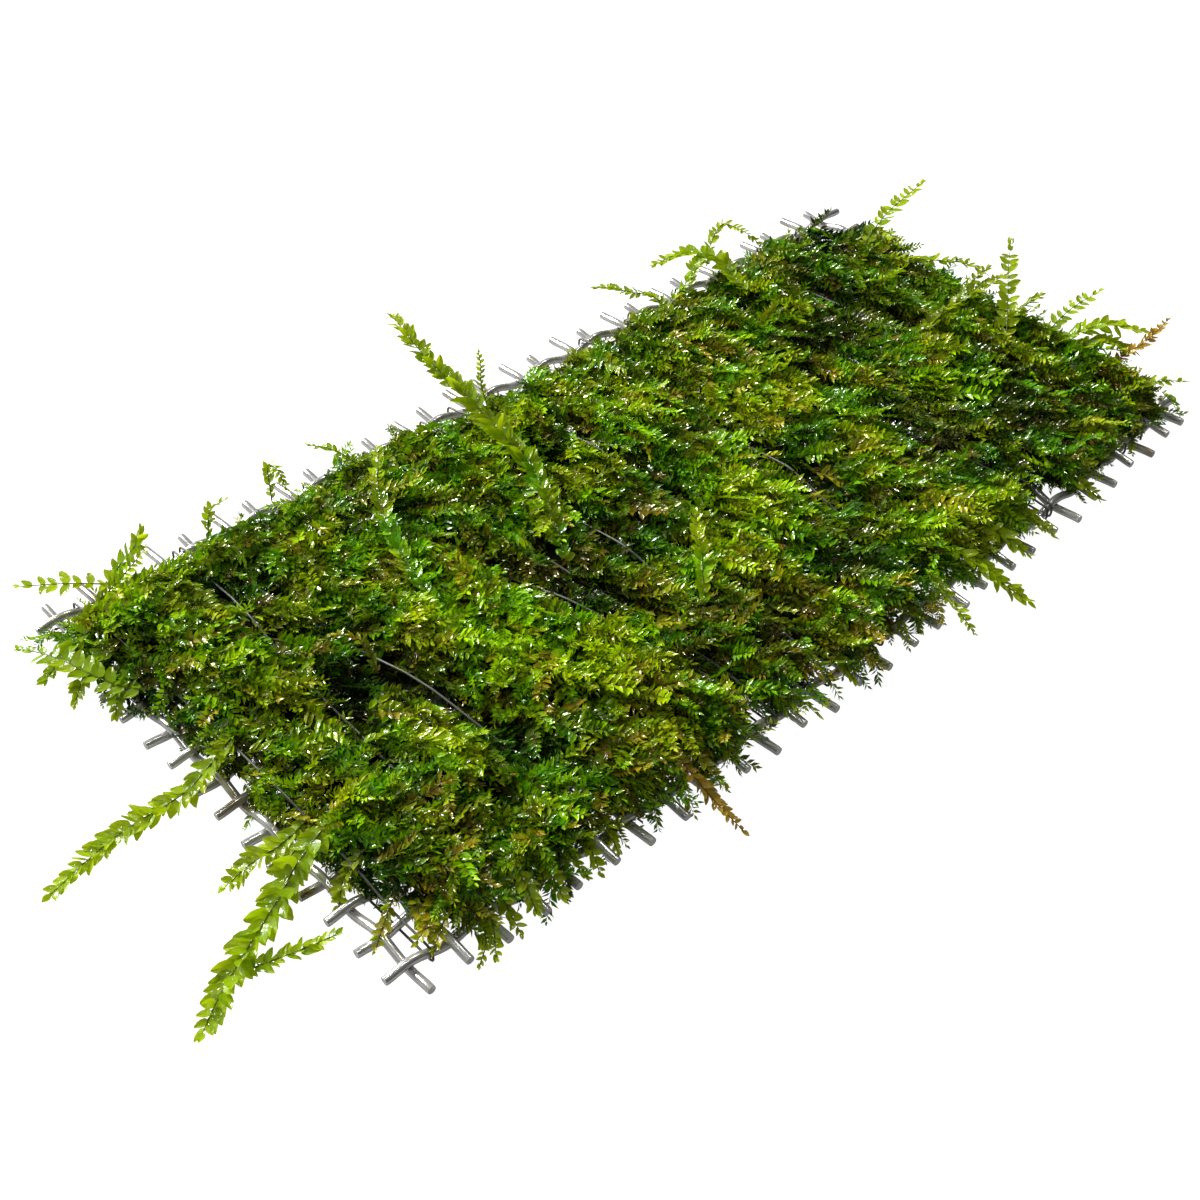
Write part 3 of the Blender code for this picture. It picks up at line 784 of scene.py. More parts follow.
# A leaf one unit long from its foot at the origin, along X, with its face up. Fan-filled circle,
# narrowed, drawn to a point, its middle pressed in and its tip bent down.
def leafBlade(rimCount, width, widest, cup, droop, point=1.0):
    bpy.ops.object.select_all(action="DESELECT")
    bpy.ops.mesh.primitive_circle_add(vertices=rimCount, radius=0.5, fill_type="TRIFAN",
                                      rotation=(0, 0, math.pi / 2), location=(0.5, 0, 0))
    leaf = bpy.context.active_object
    bpy.ops.object.transform_apply(location=True, rotation=True, scale=True)
    bpy.ops.object.mode_set(mode="EDIT")
    bpy.ops.mesh.select_all(action="SELECT")
    bpy.ops.transform.resize(value=(1, width, 1), center_override=(0.5, 0, 0))
    pickVerts(leaf, lambda co: 0.1 < co.x < 0.9 and abs(co.y) > 0.01)
    bpy.ops.transform.translate(value=(widest - 0.5, 0, 0))
    pickVerts(leaf, lambda co: 0.1 < co.x < 0.9 and abs(co.y) < 0.01)
    bpy.ops.transform.translate(value=(widest - 0.5, 0, -cup))
    pickVerts(leaf, lambda co: co.x > 0.95)
    bpy.ops.transform.translate(value=(0, 0, -droop))
    if point < 1:
        pickVerts(leaf, lambda co: 0.7 < co.x < 0.95)
        bpy.ops.transform.resize(value=(1, point, 1), center_override=(0.8, 0, 0))
    bpy.ops.object.mode_set(mode="OBJECT")
    points, corners = meshArrays(leaf)
    removePiece(leaf)
    return points, corners


smallLeaf = leafBlade(4, 0.40, 0.40, 0.09, 0.16)
fullLeaf = leafBlade(6, 0.44, 0.42, 0.10, 0.18)
broadLeaf = leafBlade(12, 0.54, 0.40, 0.08, 0.08, 0.62)


def stemRod(sides, cuts):
    rod = straightRod(sides, cuts)
    arrays = meshArrays(rod)
    removePiece(rod)
    return arrays


def turnAbout(axis, angle):
    x, y, z = axis
    c, s = math.cos(angle), math.sin(angle)
    k = np.array(((0, -z, y), (z, 0, -x), (-y, x, 0)))
    return np.eye(3) + s * k + (1 - c) * k @ k


# A leaf rolled about its own length, raised, and spread from the stem
def turnLeaf(blade, roll, rise, spread):
    for axis, angle in (((1, 0, 0), roll), ((0, 1, 0), -rise), ((0, 0, 1), spread)):
        blade = blade @ turnAbout(axis, angle).T
    return blade


# Tone, dryness, place along the leaf and share of stem, for each of some points
def growthValues(count, *values):
    return np.column_stack([np.broadcast_to(value, count) for value in values])


# One sprig along X with its leaves in two rows, as points, triangles and growth values
def leafySprig(leaf, plan, seed):
    chance = np.random.default_rng(seed)
    leafPoints, leafCorners = leaf
    stemPoints, stemCorners = stemRod(3, plan["stemCuts"])
    stem = stemPoints.copy()
    taper = plan["stemRadius"] * (1.25 - 0.8 * stem[:, 0:1])
    stem = np.hstack((stem[:, 0:1] * plan["length"], stem[:, 1:] * taper))
    points = [stem]
    corners = [stemCorners]
    growth = [growthValues(len(stem), -0.05, 0.0, 0.0, 0.8)]
    count = len(stem)
    for k in range(plan["leaves"]):
        share = (k + 0.6) / plan["leaves"]
        last = k == plan["leaves"] - 1
        side = 1 if k % 2 else -1
        size = plan["leafLength"] * (1.08 - 0.42 * share ** 2) * chance.uniform(0.82, 1.15)
        spread = math.radians(chance.normal(plan["angle"], 9)) * (0.15 if last else 1)
        blade = leafPoints * (size, size * chance.uniform(0.85, 1.1), size)
        blade = turnLeaf(blade, side * math.radians(chance.normal(plan["roll"], 22)),
                         math.radians(chance.normal(plan["raise"], 14)), side * spread)
        blade = blade + (share * plan["length"] * 0.97, 0, 0)
        place = np.clip(leafPoints[:, 0], 0, 1)
        tone = chance.normal(0, 0.05) + 0.16 * share
        points.append(blade)
        corners.append(leafCorners + count)
        growth.append(growthValues(len(blade), tone, 0.0, place, 0.0))
        count += len(blade)
    return np.vstack(points), np.vstack(corners), np.vstack(growth)


sprigPlans = {
    "low": {"leaf": smallLeaf, "kinds": 4, "length": 3.4, "leaves": 13, "leafLength": 1.0,
            "angle": 42, "roll": 30, "raise": 18, "stemRadius": 0.05, "stemCuts": (1,)},
    "full": {"leaf": smallLeaf, "kinds": 6, "length": 3.8, "leaves": 18, "leafLength": 1.02,
             "angle": 42, "roll": 34, "raise": 22, "stemRadius": 0.05, "stemCuts": (1,)},
    "long": {"leaf": fullLeaf, "kinds": 4, "length": 7.0, "leaves": 24, "leafLength": 1.12,
             "angle": 46, "roll": 18, "raise": 14, "stemRadius": 0.06, "stemCuts": (3,)},
}
sprigs = {}
for kindNumber, (kind, plan) in enumerate(sprigPlans.items()):
    sprigs[kind] = [leafySprig(plan["leaf"], plan, 40 * kindNumber + k)
                    for k in range(plan["kinds"])]
    print("sprig", kind, len(sprigs[kind][0][1]), "triangles")


# Random places on the moss's surface, on faces whose normals pass the test
def surfacePlaces(count, chance, facing):
    a, b, c = (mossPoints[mossCorners[:, k]] for k in range(3))
    cross = np.cross(b - a, c - a)
    area = np.linalg.norm(cross, axis=1)
    normals = unit(cross)
    weight = area * facing(normals)
    picks = chance.choice(len(area), size=count, p=weight / weight.sum())
    u, v = chance.random(count), chance.random(count)
    flip = u + v > 1
    u[flip], v[flip] = 1 - u[flip], 1 - v[flip]
    places = a[picks] + (b - a)[picks] * u[:, None] + (c - a)[picks] * v[:, None]
    return places, normals[picks]


# Where a sprig points, in plan: to the near side, more freely on the left than on the right
def headings(places, chance):
    swing = noiseAt(places, 13.0, 4.2) * 1.6 + chance.normal(0, 0.45, len(places))
    free = np.clip(1.25 - places[:, 0] / 70, 0.45, 1.25)
    return -math.pi / 2 + swing * free


# each layer's tone is lower the deeper it lies: partly older leaves, partly painted shade
mossLayers = {
    "deep": {"kind": "low", "count": 2700, "depth": (0.9, 1.8), "lift": (2, 16), "bend": 12,
             "size": (0.85, 1.25), "tone": 0.18, "dryness": 0.36},
    "middle": {"kind": "low", "count": 4250, "depth": (0.55, 1.2), "lift": (6, 14), "bend": 16,
               "size": (0.8, 1.2), "tone": 0.32, "dryness": 0.15},
    "top": {"kind": "full", "count": 4200, "depth": (0.35, 0.95), "lift": (10, 14), "bend": 20,
            "size": (0.7, 1.1), "tone": 0.47, "dryness": 0.09},
    "shoots": {"kind": "long", "count": 620, "depth": (0.3, 0.7), "lift": (6, 9), "bend": 14,
               "size": (0.7, 1.1), "tone": 0.56, "dryness": 0.06},
}
rimProbes = ((1.6, 0), (-1.6, 0), (0, 1.6), (0, -1.6))
# How the layers follow the patches and keep clear of the bare thread, in mm
layerLook = {
    "reliefSize": 4.2, "relief": 1.15, "sink": 0.4, "hollowDepth": 2.0, "brightRise": 1.6,
    "brightLift": 50,  # degrees
    "threadGap": 0.6, "middleThreadGap": 0.45,
    "eyeSide": (0.6, 0.65, 0), "eyeSideGap": 0.5,  # between the thread and the camera
    # the tone keys paint shade into the hollows, light onto higher relief, and young tint with light onto
    # the bright tufts
    "brightTintAndPaintedLight": 0.95, "hollowPaintedShade": 1.1, "tonePatch": 0.17, "reliefPaintedLight": 0.22,
    "dryPatch": 0.55, "dryNoise": 0.25,
}
rimLook = {"kind": "full", "count": 2100, "lift": (-6, 20), "size": (0.6, 1.0),
           "overhang": (0.2, 0.55), "hanging": 0.35, "tone": 0.60, "dryness": 0.14}


# How far the moss has drawn back from the far and the near side, from 0 to 1, at a place along it
def insetShares(x):
    return np.clip((x - 34) / 12, 0, 1), np.clip((x - 54) / 16, 0, 1)


# Bend copies of one sprig and put them in place. Positive bend curves up.
def plantSprigs(sprig, base, forward, up, bend, size, tone, dryness):
    points, corners, growth = sprig
    length = points[:, 0].max()
    x = points[None, :, 0] * size[:, None]
    y = points[None, :, 1] * size[:, None]
    z = points[None, :, 2] * size[:, None]
    curl = np.where(np.abs(bend) < 0.02, 0.02, bend) / (length * size)
    angle = curl[:, None] * x
    along = np.sin(angle) / curl[:, None] - z * np.sin(angle)
    rise = (1 - np.cos(angle)) / curl[:, None] + z * np.cos(angle)
    across = np.cross(up, forward)
    placed = (base[:, None] + along[..., None] * forward[:, None] + y[..., None] * across[:, None]
              + rise[..., None] * up[:, None])
    values = np.repeat(growth[None], len(base), axis=0)
    values[..., 0] = np.clip(values[..., 0] + tone[:, None], 0, 1)
    values[..., 1] = dryness[:, None]
    return placed, corners, values


batches = []  # placed points, triangles and growth values of each batch of sprigs


def addBatch(kind, chance, base, heading, lift, roll, bend, size, tone, dryness):
    forward = np.column_stack((np.cos(heading) * np.cos(lift), np.sin(heading) * np.cos(lift),
                               np.sin(lift)))
    side = unit(np.cross((0.0, 0.0, 1.0), forward))
    up = np.cross(forward, side)
    turned = up * np.cos(roll)[:, None] + side * np.sin(roll)[:, None]
    choice = chance.integers(0, len(sprigs[kind]), len(base))
    for k, sprig in enumerate(sprigs[kind]):
        own = choice == k
        if own.any():
            batches.append(plantSprigs(sprig, base[own], forward[own], turned[own], bend[own],
                                       size[own], tone[own], dryness[own]))


def plantLayer(name, seed):
    look = mossLayers[name]
    chance = np.random.default_rng(seed)
    count = look["count"]
    places, normals = surfacePlaces(count, chance, lambda n: n[:, 2] > 0.12)
    heading = headings(places, chance)
    bright = patchValue("bright", places)
    hollow = patchValue("hollow", places)
    base = places - normals * chance.uniform(*look["depth"], count)[:, None]
    relief = noiseAt(places, layerLook["reliefSize"], 3.3)
    base[:, 2] += (layerLook["relief"] * relief - layerLook["sink"]
                   - hollow * layerLook["hollowDepth"] + bright * layerLook["brightRise"])
    lift = chance.normal(*look["lift"], count) + layerLook["brightLift"] * bright
    lift = np.radians(lift)
    size = chance.uniform(*look["size"], count)
    step = np.column_stack((np.cos(heading), np.sin(heading), np.zeros(count)))
    farInset, nearInset = insetShares(places[:, 0])
    keep = np.ones(count, bool)
    if name in ("top", "shoots"):
        for reach in (0, 2, 4):
            along = base + step * reach * size[:, None]
            keep &= threadDistance(along) > layerLook["threadGap"]
            keep &= threadDistance(along + layerLook["eyeSide"]) > layerLook["eyeSideGap"]
    if name == "middle":
        keep &= threadDistance(base + step * 2) > layerLook["middleThreadGap"]
    # a sprig starts back from its place, so that its middle stands where it was drawn
    length = sprigPlans[look["kind"]]["length"] * size
    base = base - step * (0.45 * length)[:, None]
    for k in range(count):
        # and is drawn back where it would stick out over the rim
        for _ in range(4):
            tip = base[k] + step[k] * (length[k] - 0.2)
            if mossTop(tip[0], tip[1]) > noMoss:
                break
            base[k, :2] -= step[k, :2] * 0.9
        for _ in range(6):
            if mossTop(base[k, 0], base[k, 1]) > noMoss:
                break
            base[k, :2] += (places[k, :2] - base[k, :2]) * 0.4
            size[k] *= 0.9
        top = mossTop(base[k, 0], base[k, 1])
        nearRim = min(mossTop(places[k, 0] + dx, places[k, 1] + dy) for dx, dy in rimProbes)
        if nearRim <= noMoss:
            base[k, 2] -= 0.3
            lift[k] = lift[k] * 0.4 - 0.08
            size[k] *= 0.85
        if mossTop(places[k, 0], places[k, 1] - 3.0) <= noMoss:
            base[k] += (0, 0.7 * nearInset[k], -0.3 * nearInset[k])
        if mossTop(places[k, 0], places[k, 1] + 3.2) <= noMoss:
            base[k] -= (0, 0.2 + 1.1 * farInset[k], 0.2 + 0.7 * farInset[k])
        base[k, 2] = min(base[k, 2], top - 0.25)
    base[:, 2] = np.maximum(base[:, 2], mossBottom - 0.2)
    keep &= ~isOpen(base + step * (0.9 * length)[:, None])
    keep &= ~isOpen(base + step * (0.5 * length)[:, None])
    patch = noiseAt(places, 5.0, 8.8)
    # tone is darker in the hollows by painted shade, brighter on higher relief by painted light, and
    # brighter on the bright tufts by young tint and painted light
    tone = look["tone"] + bright * layerLook["brightTintAndPaintedLight"] - hollow * layerLook["hollowPaintedShade"]
    tone = tone + layerLook["tonePatch"] * patch + layerLook["reliefPaintedLight"] * relief
    # higher places are brighter by painted light and lower ones darker by painted shade, and the right
    # half a little darker
    tone = tone + np.clip(0.11 * (places[:, 2] - 4.6), -0.16, 0.12)
    tone = tone - 0.04 * np.clip((places[:, 0] - 50) / 30, 0, 1)
    tone = tone + chance.normal(0, 0.07, count)
    drying = patchValue("dry", places) * layerLook["dryPatch"] + look["dryness"]
    drying = drying + layerLook["dryNoise"] * np.clip(noiseAt(places, 7.0, 1.4) - 0.15, 0, 1)
    dryness = np.where(chance.random(count) < drying, chance.uniform(0.55, 1.0, count), 0.0)
    addBatch(look["kind"], chance, base[keep], heading[keep], lift[keep],
             np.radians(chance.normal(0, 34, count))[keep],
             np.radians(chance.normal(-8, look["bend"] * 1.6, count))[keep], size[keep],
             tone[keep], dryness[keep])


def plantRim(seed):
    chance = np.random.default_rng(seed)
    count = rimLook["count"]
    places, normals = surfacePlaces(count, chance, lambda n: np.abs(n[:, 2]) < 0.75)
    # only the outer rim, not the slopes of the ridges
    edge = np.array([mossTop(*(place[:2] + normal[:2] * 2.2)) < noMoss
                     for place, normal in zip(places, normals)])
    places, normals = places[edge], normals[edge]
    count = len(places)
    outward = np.arctan2(normals[:, 1], normals[:, 0])
    heading = outward + chance.normal(0, 0.65, count)
    size = chance.uniform(*rimLook["size"], count)
    overhang = np.clip(chance.normal(*rimLook["overhang"], count), -1.0, 1.8)
    farInset, nearInset = insetShares(places[:, 0])
    nearInset = nearInset * (normals[:, 1] < -0.5)
    overhang += 0.8 * (normals[:, 1] < -0.5) - 1.7 * nearInset
    overhang -= 0.8 * np.clip((places[:, 1] - 20) / 14, 0, 1) * (normals[:, 0] > 0.5)
    overhang -= (0.4 + 1.4 * farInset) * (normals[:, 1] > 0.5)
    overhang -= 0.4 * (normals[:, 0] < -0.5)
    back = sprigPlans[rimLook["kind"]]["length"] * size * np.cos(heading - outward) - overhang
    base = places - unit(normals * (1, 1, 0)) * np.maximum(back, 0.3)[:, None]
    base[:, 2] = np.clip(base[:, 2] + chance.uniform(-0.4, 0.9, count), 1.5, None)
    base[:, 2] -= 0.6 * (normals[:, 1] > 0.5)
    lift = np.radians(chance.normal(*rimLook["lift"], count))
    hanging = chance.random(count) < rimLook["hanging"] + 0.2 * (normals[:, 1] < -0.5)
    hanging &= chance.random(count) > 0.85 * nearInset
    lift[hanging] -= math.radians(28)
    base[hanging, :2] += normals[hanging, :2] * 0.8
    # hanging sprigs are darker by painted shade; the bright tufts are lighter by young tint and painted
    # light
    tone = rimLook["tone"] - 0.18 * hanging + 0.5 * patchValue("bright", places)
    tone = tone + chance.normal(0, 0.1, count)
    dryChance = rimLook["dryness"] + 0.7 * patchValue("dry", places)
    dryness = np.where(chance.random(count) < dryChance, chance.uniform(0.5, 1.0, count), 0.0)
    step = np.column_stack((np.cos(heading), np.sin(heading), np.zeros(count)))
    reach = sprigPlans[rimLook["kind"]]["length"] * size
    keep = ~isOpen(base + step * (0.85 * reach)[:, None])
    roll = np.radians(chance.normal(0, 30, count))
    bend = np.radians(chance.normal(-6, 26, count))
    addBatch(rimLook["kind"], chance, base[keep], heading[keep], lift[keep], roll[keep],
             bend[keep], size[keep], tone[keep], dryness[keep])
    print("rim sprigs:", keep.sum())


for seed, name in enumerate(mossLayers):
    plantLayer(name, 11 + seed)
    print("layer planted:", name)
plantRim(31)

# Join the sprigs into strips across the mat, each one a piece
stripCount = 7


def joinStrips():
    edges = np.linspace(-3, lastColumn * pitch + 3, stripCount + 1)[1:-1]
    for strip in range(stripCount):
        points, corners, growth = [], [], []
        count = 0
        for placed, faces, values in batches:
            own = np.searchsorted(edges, placed[:, 0, 0]) == strip
            if not own.any():
                continue
            some = placed[own]
            shift = np.arange(len(some))[:, None, None] * some.shape[1] + count
            points.append(some.reshape(-1, 3))
            corners.append((faces[None] + shift).reshape(-1, 3))
            growth.append(values[own].reshape(-1, 4))
            count += some.shape[0] * some.shape[1]
        points = np.vstack(points)
        points[:, 2] = np.maximum(points[:, 2], 0.06)
        corners = np.vstack(corners)
        trianglePiece(f"mossStrip{strip + 1}", points, corners, np.vstack(growth), mossLeaf, "moss")
        print("strip", strip + 1, len(corners), "triangles")


joinStrips()

# Fronds that stand out of the mass

frondLook = {"spacing": 0.105, "angle": 44, "leafLength": 0.70, "stemRadius": 0.07, "taper": 0.5}
# Fronds that lie flat, with their leaves spread in pairs
openFronds = ("frondFarLeft", "frondLeftBroad", "frondFarRight", "frondRightUpright",
              "frondRightMiddle")
openLook = {"spacing": 0.42, "angle": 58, "leafLength": 0.66}

# Route in mm, base first; breadth as in the CAD model; tone and dryness
fronds = {
    "frondFarLeft": ("frond_far_left", ((4.6, 46.2, 4.2), (1.2, 48.4, 4.9), (-2.0, 50.4, 5.2)),
                     2.1, 0.72, 0.0),
    "frondLeftBroad": ("frond_left_broad", ((0.6, 34.4, 2.9), (-1.0, 36.0, 3.1),
                       (-2.4, 38.6, 3.5), (-3.5, 42.6, 3.4), (-4.9, 45.9, 2.9)), 2.6, 0.56, 0.0),
    "frondUpright": ("frond_upright", ((39.0, 27.5, 4.6), (39.6, 32.0, 6.6), (40.0, 40.9, 9.0),
                     (39.3, 46.2, 11.2), (39.6, 51.4, 13.0)), 2.6, 0.62, 0.0),
    "frondFarMiddle": ("frond_far_middle", ((68.2, 43.0, 4.7), (68.2, 45.7, 5.4),
                       (66.5, 47.2, 6.0), (65.2, 48.8, 6.3), (63.9, 49.8, 6.5)), 1.5, 0.60, 0.0),
    "frondFarCurved": ("frond_far_curved", ((76.6, 40.5, 4.9), (77.3, 43.4, 5.3),
                       (77.6, 45.4, 5.9), (76.9, 47.6, 6.1), (75.3, 49.7, 5.6), (72.9, 50.5, 5.0)),
                       2.0, 0.66, 0.0),
    "frondFarRight": ("frond_far_right", ((92.0, 38.4, 4.2), (97.4, 39.6, 6.0),
                      (104.1, 40.3, 7.0)), 2.0, 0.62, 0.0),
    "frondRightUpright": ("frond_right_upright", ((88.3, 15.8, 4.8), (91.9, 18.9, 7.4),
                          (94.5, 21.2, 9.0), (97.0, 23.0, 10.0)), 2.1, 0.62, 0.0),
    "frondRightMiddle": ("frond_right_middle", ((91.8, 14.4, 4.8), (96.0, 14.3, 6.6),
                         (100.0, 13.6, 7.5)), 1.9, 0.64, 0.0),
    "frondRightBrown": ("frond_right_brown", ((92.4, 7.4, 4.0), (95.0, 6.8, 5.4), (97.6, 5.9, 6.6),
                        (101.4, 6.3, 7.0)), 1.3, 0.45, 0.7),
    "frondNearRight": ("frond_near_right", ((61.6, 0.6, 4.2), (62.2, -2.0, 3.2), (63.1, -4.4, 1.9),
                       (63.9, -6.4, 1.0)), 2.2, 0.72, 0.0),
    "frondNearWithered": ("frond_near_withered", ((26.4, 0.4, 4.2), (26.4, -2.4, 3.2),
                          (26.6, -5.0, 1.8), (26.8, -7.6, 0.9)), 1.4, 0.55, 1.0),
    "frondLeftLong": ("frond_left_long", ((2.4, 24.9, 3.9), (-0.5, 24.0, 3.4), (-3.1, 23.3, 2.9),
                      (-5.3, 23.5, 2.4), (-8.6, 24.1, 1.7), (-12.3, 23.9, 1.1), (-15.8, 23.2, 0.8)),
                      2.4, 0.66, 0.0),
    "frondLeftForked": ("frond_left_forked", ((2.6, 12.6, 4.0), (-1.1, 11.5, 3.2), (-4.5, 9.8, 2.7),
                        (-8.1, 8.2, 2.2), (-11.3, 6.8, 1.6), (-14.1, 5.2, 1.0)), 3.0, 0.60, 0.0),
    "frondLeftShort": ("frond_left_short", ((1.6, 14.2, 3.4), (-0.8, 14.1, 2.7), (-3.6, 14.5, 2.1),
                       (-5.9, 14.6, 1.3)), 2.2, 0.60, 0.0),
}
forkShoot = ((-9.2, 7.0, 1.7), (-6.6, 6.0, 2.0), (-4.6, 5.2, 2.3), (-2.9, 4.6, 2.6))


def smoothRoute(corners, spacing):
    corners = np.asarray(corners, float)
    ends = np.vstack((corners[0] * 2 - corners[1], corners, corners[-1] * 2 - corners[-2]))
    fine = []
    for k in range(len(corners) - 1):
        a, b, c, d = ends[k:k + 4]
        for t in np.linspace(0, 1, 20, endpoint=False):
            fine.append(0.5 * (2 * b + (c - a) * t + (2 * a - 5 * b + 4 * c - d) * t ** 2
                               + (3 * b - a - 3 * c + d) * t ** 3))
    fine = np.array(fine + [corners[-1]])
    run = np.concatenate(((0,), np.cumsum(np.linalg.norm(np.diff(fine, axis=0), axis=1))))
    count = max(int(run[-1] / spacing), 3)
    places = np.linspace(0, run[-1], count + 1)
    return np.stack([np.interp(places, run, fine[:, k]) for k in range(3)], axis=1)


stemPoints, stemCorners = stemRod(6, (24,))


# Points, triangles and growth values of one leafy shoot along a route
def leafyShoot(route, breadth, tone, dryness, seed, opened=False):
    chance = np.random.default_rng(seed)
    look = openLook if opened else frondLook
    line = smoothRoute(route, max(look["spacing"] * breadth, 0.24))
    tangents = unit(np.gradient(line, axis=0))
    last = len(line) - 1
    radius = frondLook["stemRadius"] * np.linspace(1.1, 0.5, 8)
    side = unit(np.cross(tangents[last // 2], (0, 0, 1)))
    stem = layRod(stemPoints, line, radius, side)
    points, corners = [stem], [stemCorners]
    growth = [growthValues(len(stem), tone - 0.2, dryness * 0.7, 0.0, 0.7)]
    count = len(stem)
    leafPoints, leafCorners = broadLeaf
    for k in range(1, last + 1):
        share = k / last
        forward = tangents[k]
        across = unit(np.cross(forward, (0, 0, 1)))
        up = np.cross(across, forward)
        fullness = frondLook["taper"] + (1 - frondLook["taper"]) * math.sin(
            math.pi * (0.15 + 0.8 * share))
        turn = np.stack((forward, across, up), axis=1)
        for hand in (1, -1) if opened else (1 if k % 2 else -1,):
            spread = math.radians(chance.normal(look["angle"], 8 if opened else 10))
            if k > last - 2:
                spread *= 0.35
            size = breadth * fullness * look["leafLength"] * chance.uniform(0.8, 1.14)
            flat = 0.5 if opened else 1.0
            blade = leafPoints * (size, size * chance.uniform(0.9, 1.15), size)
            blade = turnLeaf(blade, hand * math.radians(chance.normal(4, 22) * flat),
                             math.radians(chance.normal(8, 16) * flat), hand * spread)
            blade = blade @ turn.T + line[k]
            value = tone + 0.10 * share + chance.normal(0, 0.07)
            points.append(blade)
            corners.append(leafCorners + count)
            dried = dryness * chance.uniform(0.5, 1.1)
            growth.append(growthValues(len(blade), value, dried, np.clip(leafPoints[:, 0], 0, 1), 0.0))
            count += len(blade)
    return np.vstack(points), np.vstack(corners), np.clip(np.vstack(growth), 0, 1)


def joinShoots(shoots):
    points, corners, growth = [], [], []
    count = 0
    for own, faces, values in shoots:
        points.append(own)
        corners.append(faces + count)
        growth.append(values)
        count += len(own)
    points = np.vstack(points)
    points[:, 2] = np.maximum(points[:, 2], 0.05)
    return points, np.vstack(corners), np.vstack(growth)


for number, (name, (node, route, breadth, tone, dryness)) in enumerate(fronds.items()):
    shoots = [leafyShoot(route, breadth, tone, dryness, 60 + number, name in openFronds)]
    if name == "frondLeftForked":
        shoots.append(leafyShoot(forkShoot, 1.8, tone, 0.0, 90))
    material = witheredLeaf if dryness > 0.5 else frondLeaf
    slot = "withered_frond" if dryness > 0.5 else "frond"
    piece = trianglePiece(name, *joinShoots(shoots), material, slot)
    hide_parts(node)
print("fronds made:", len(fronds))

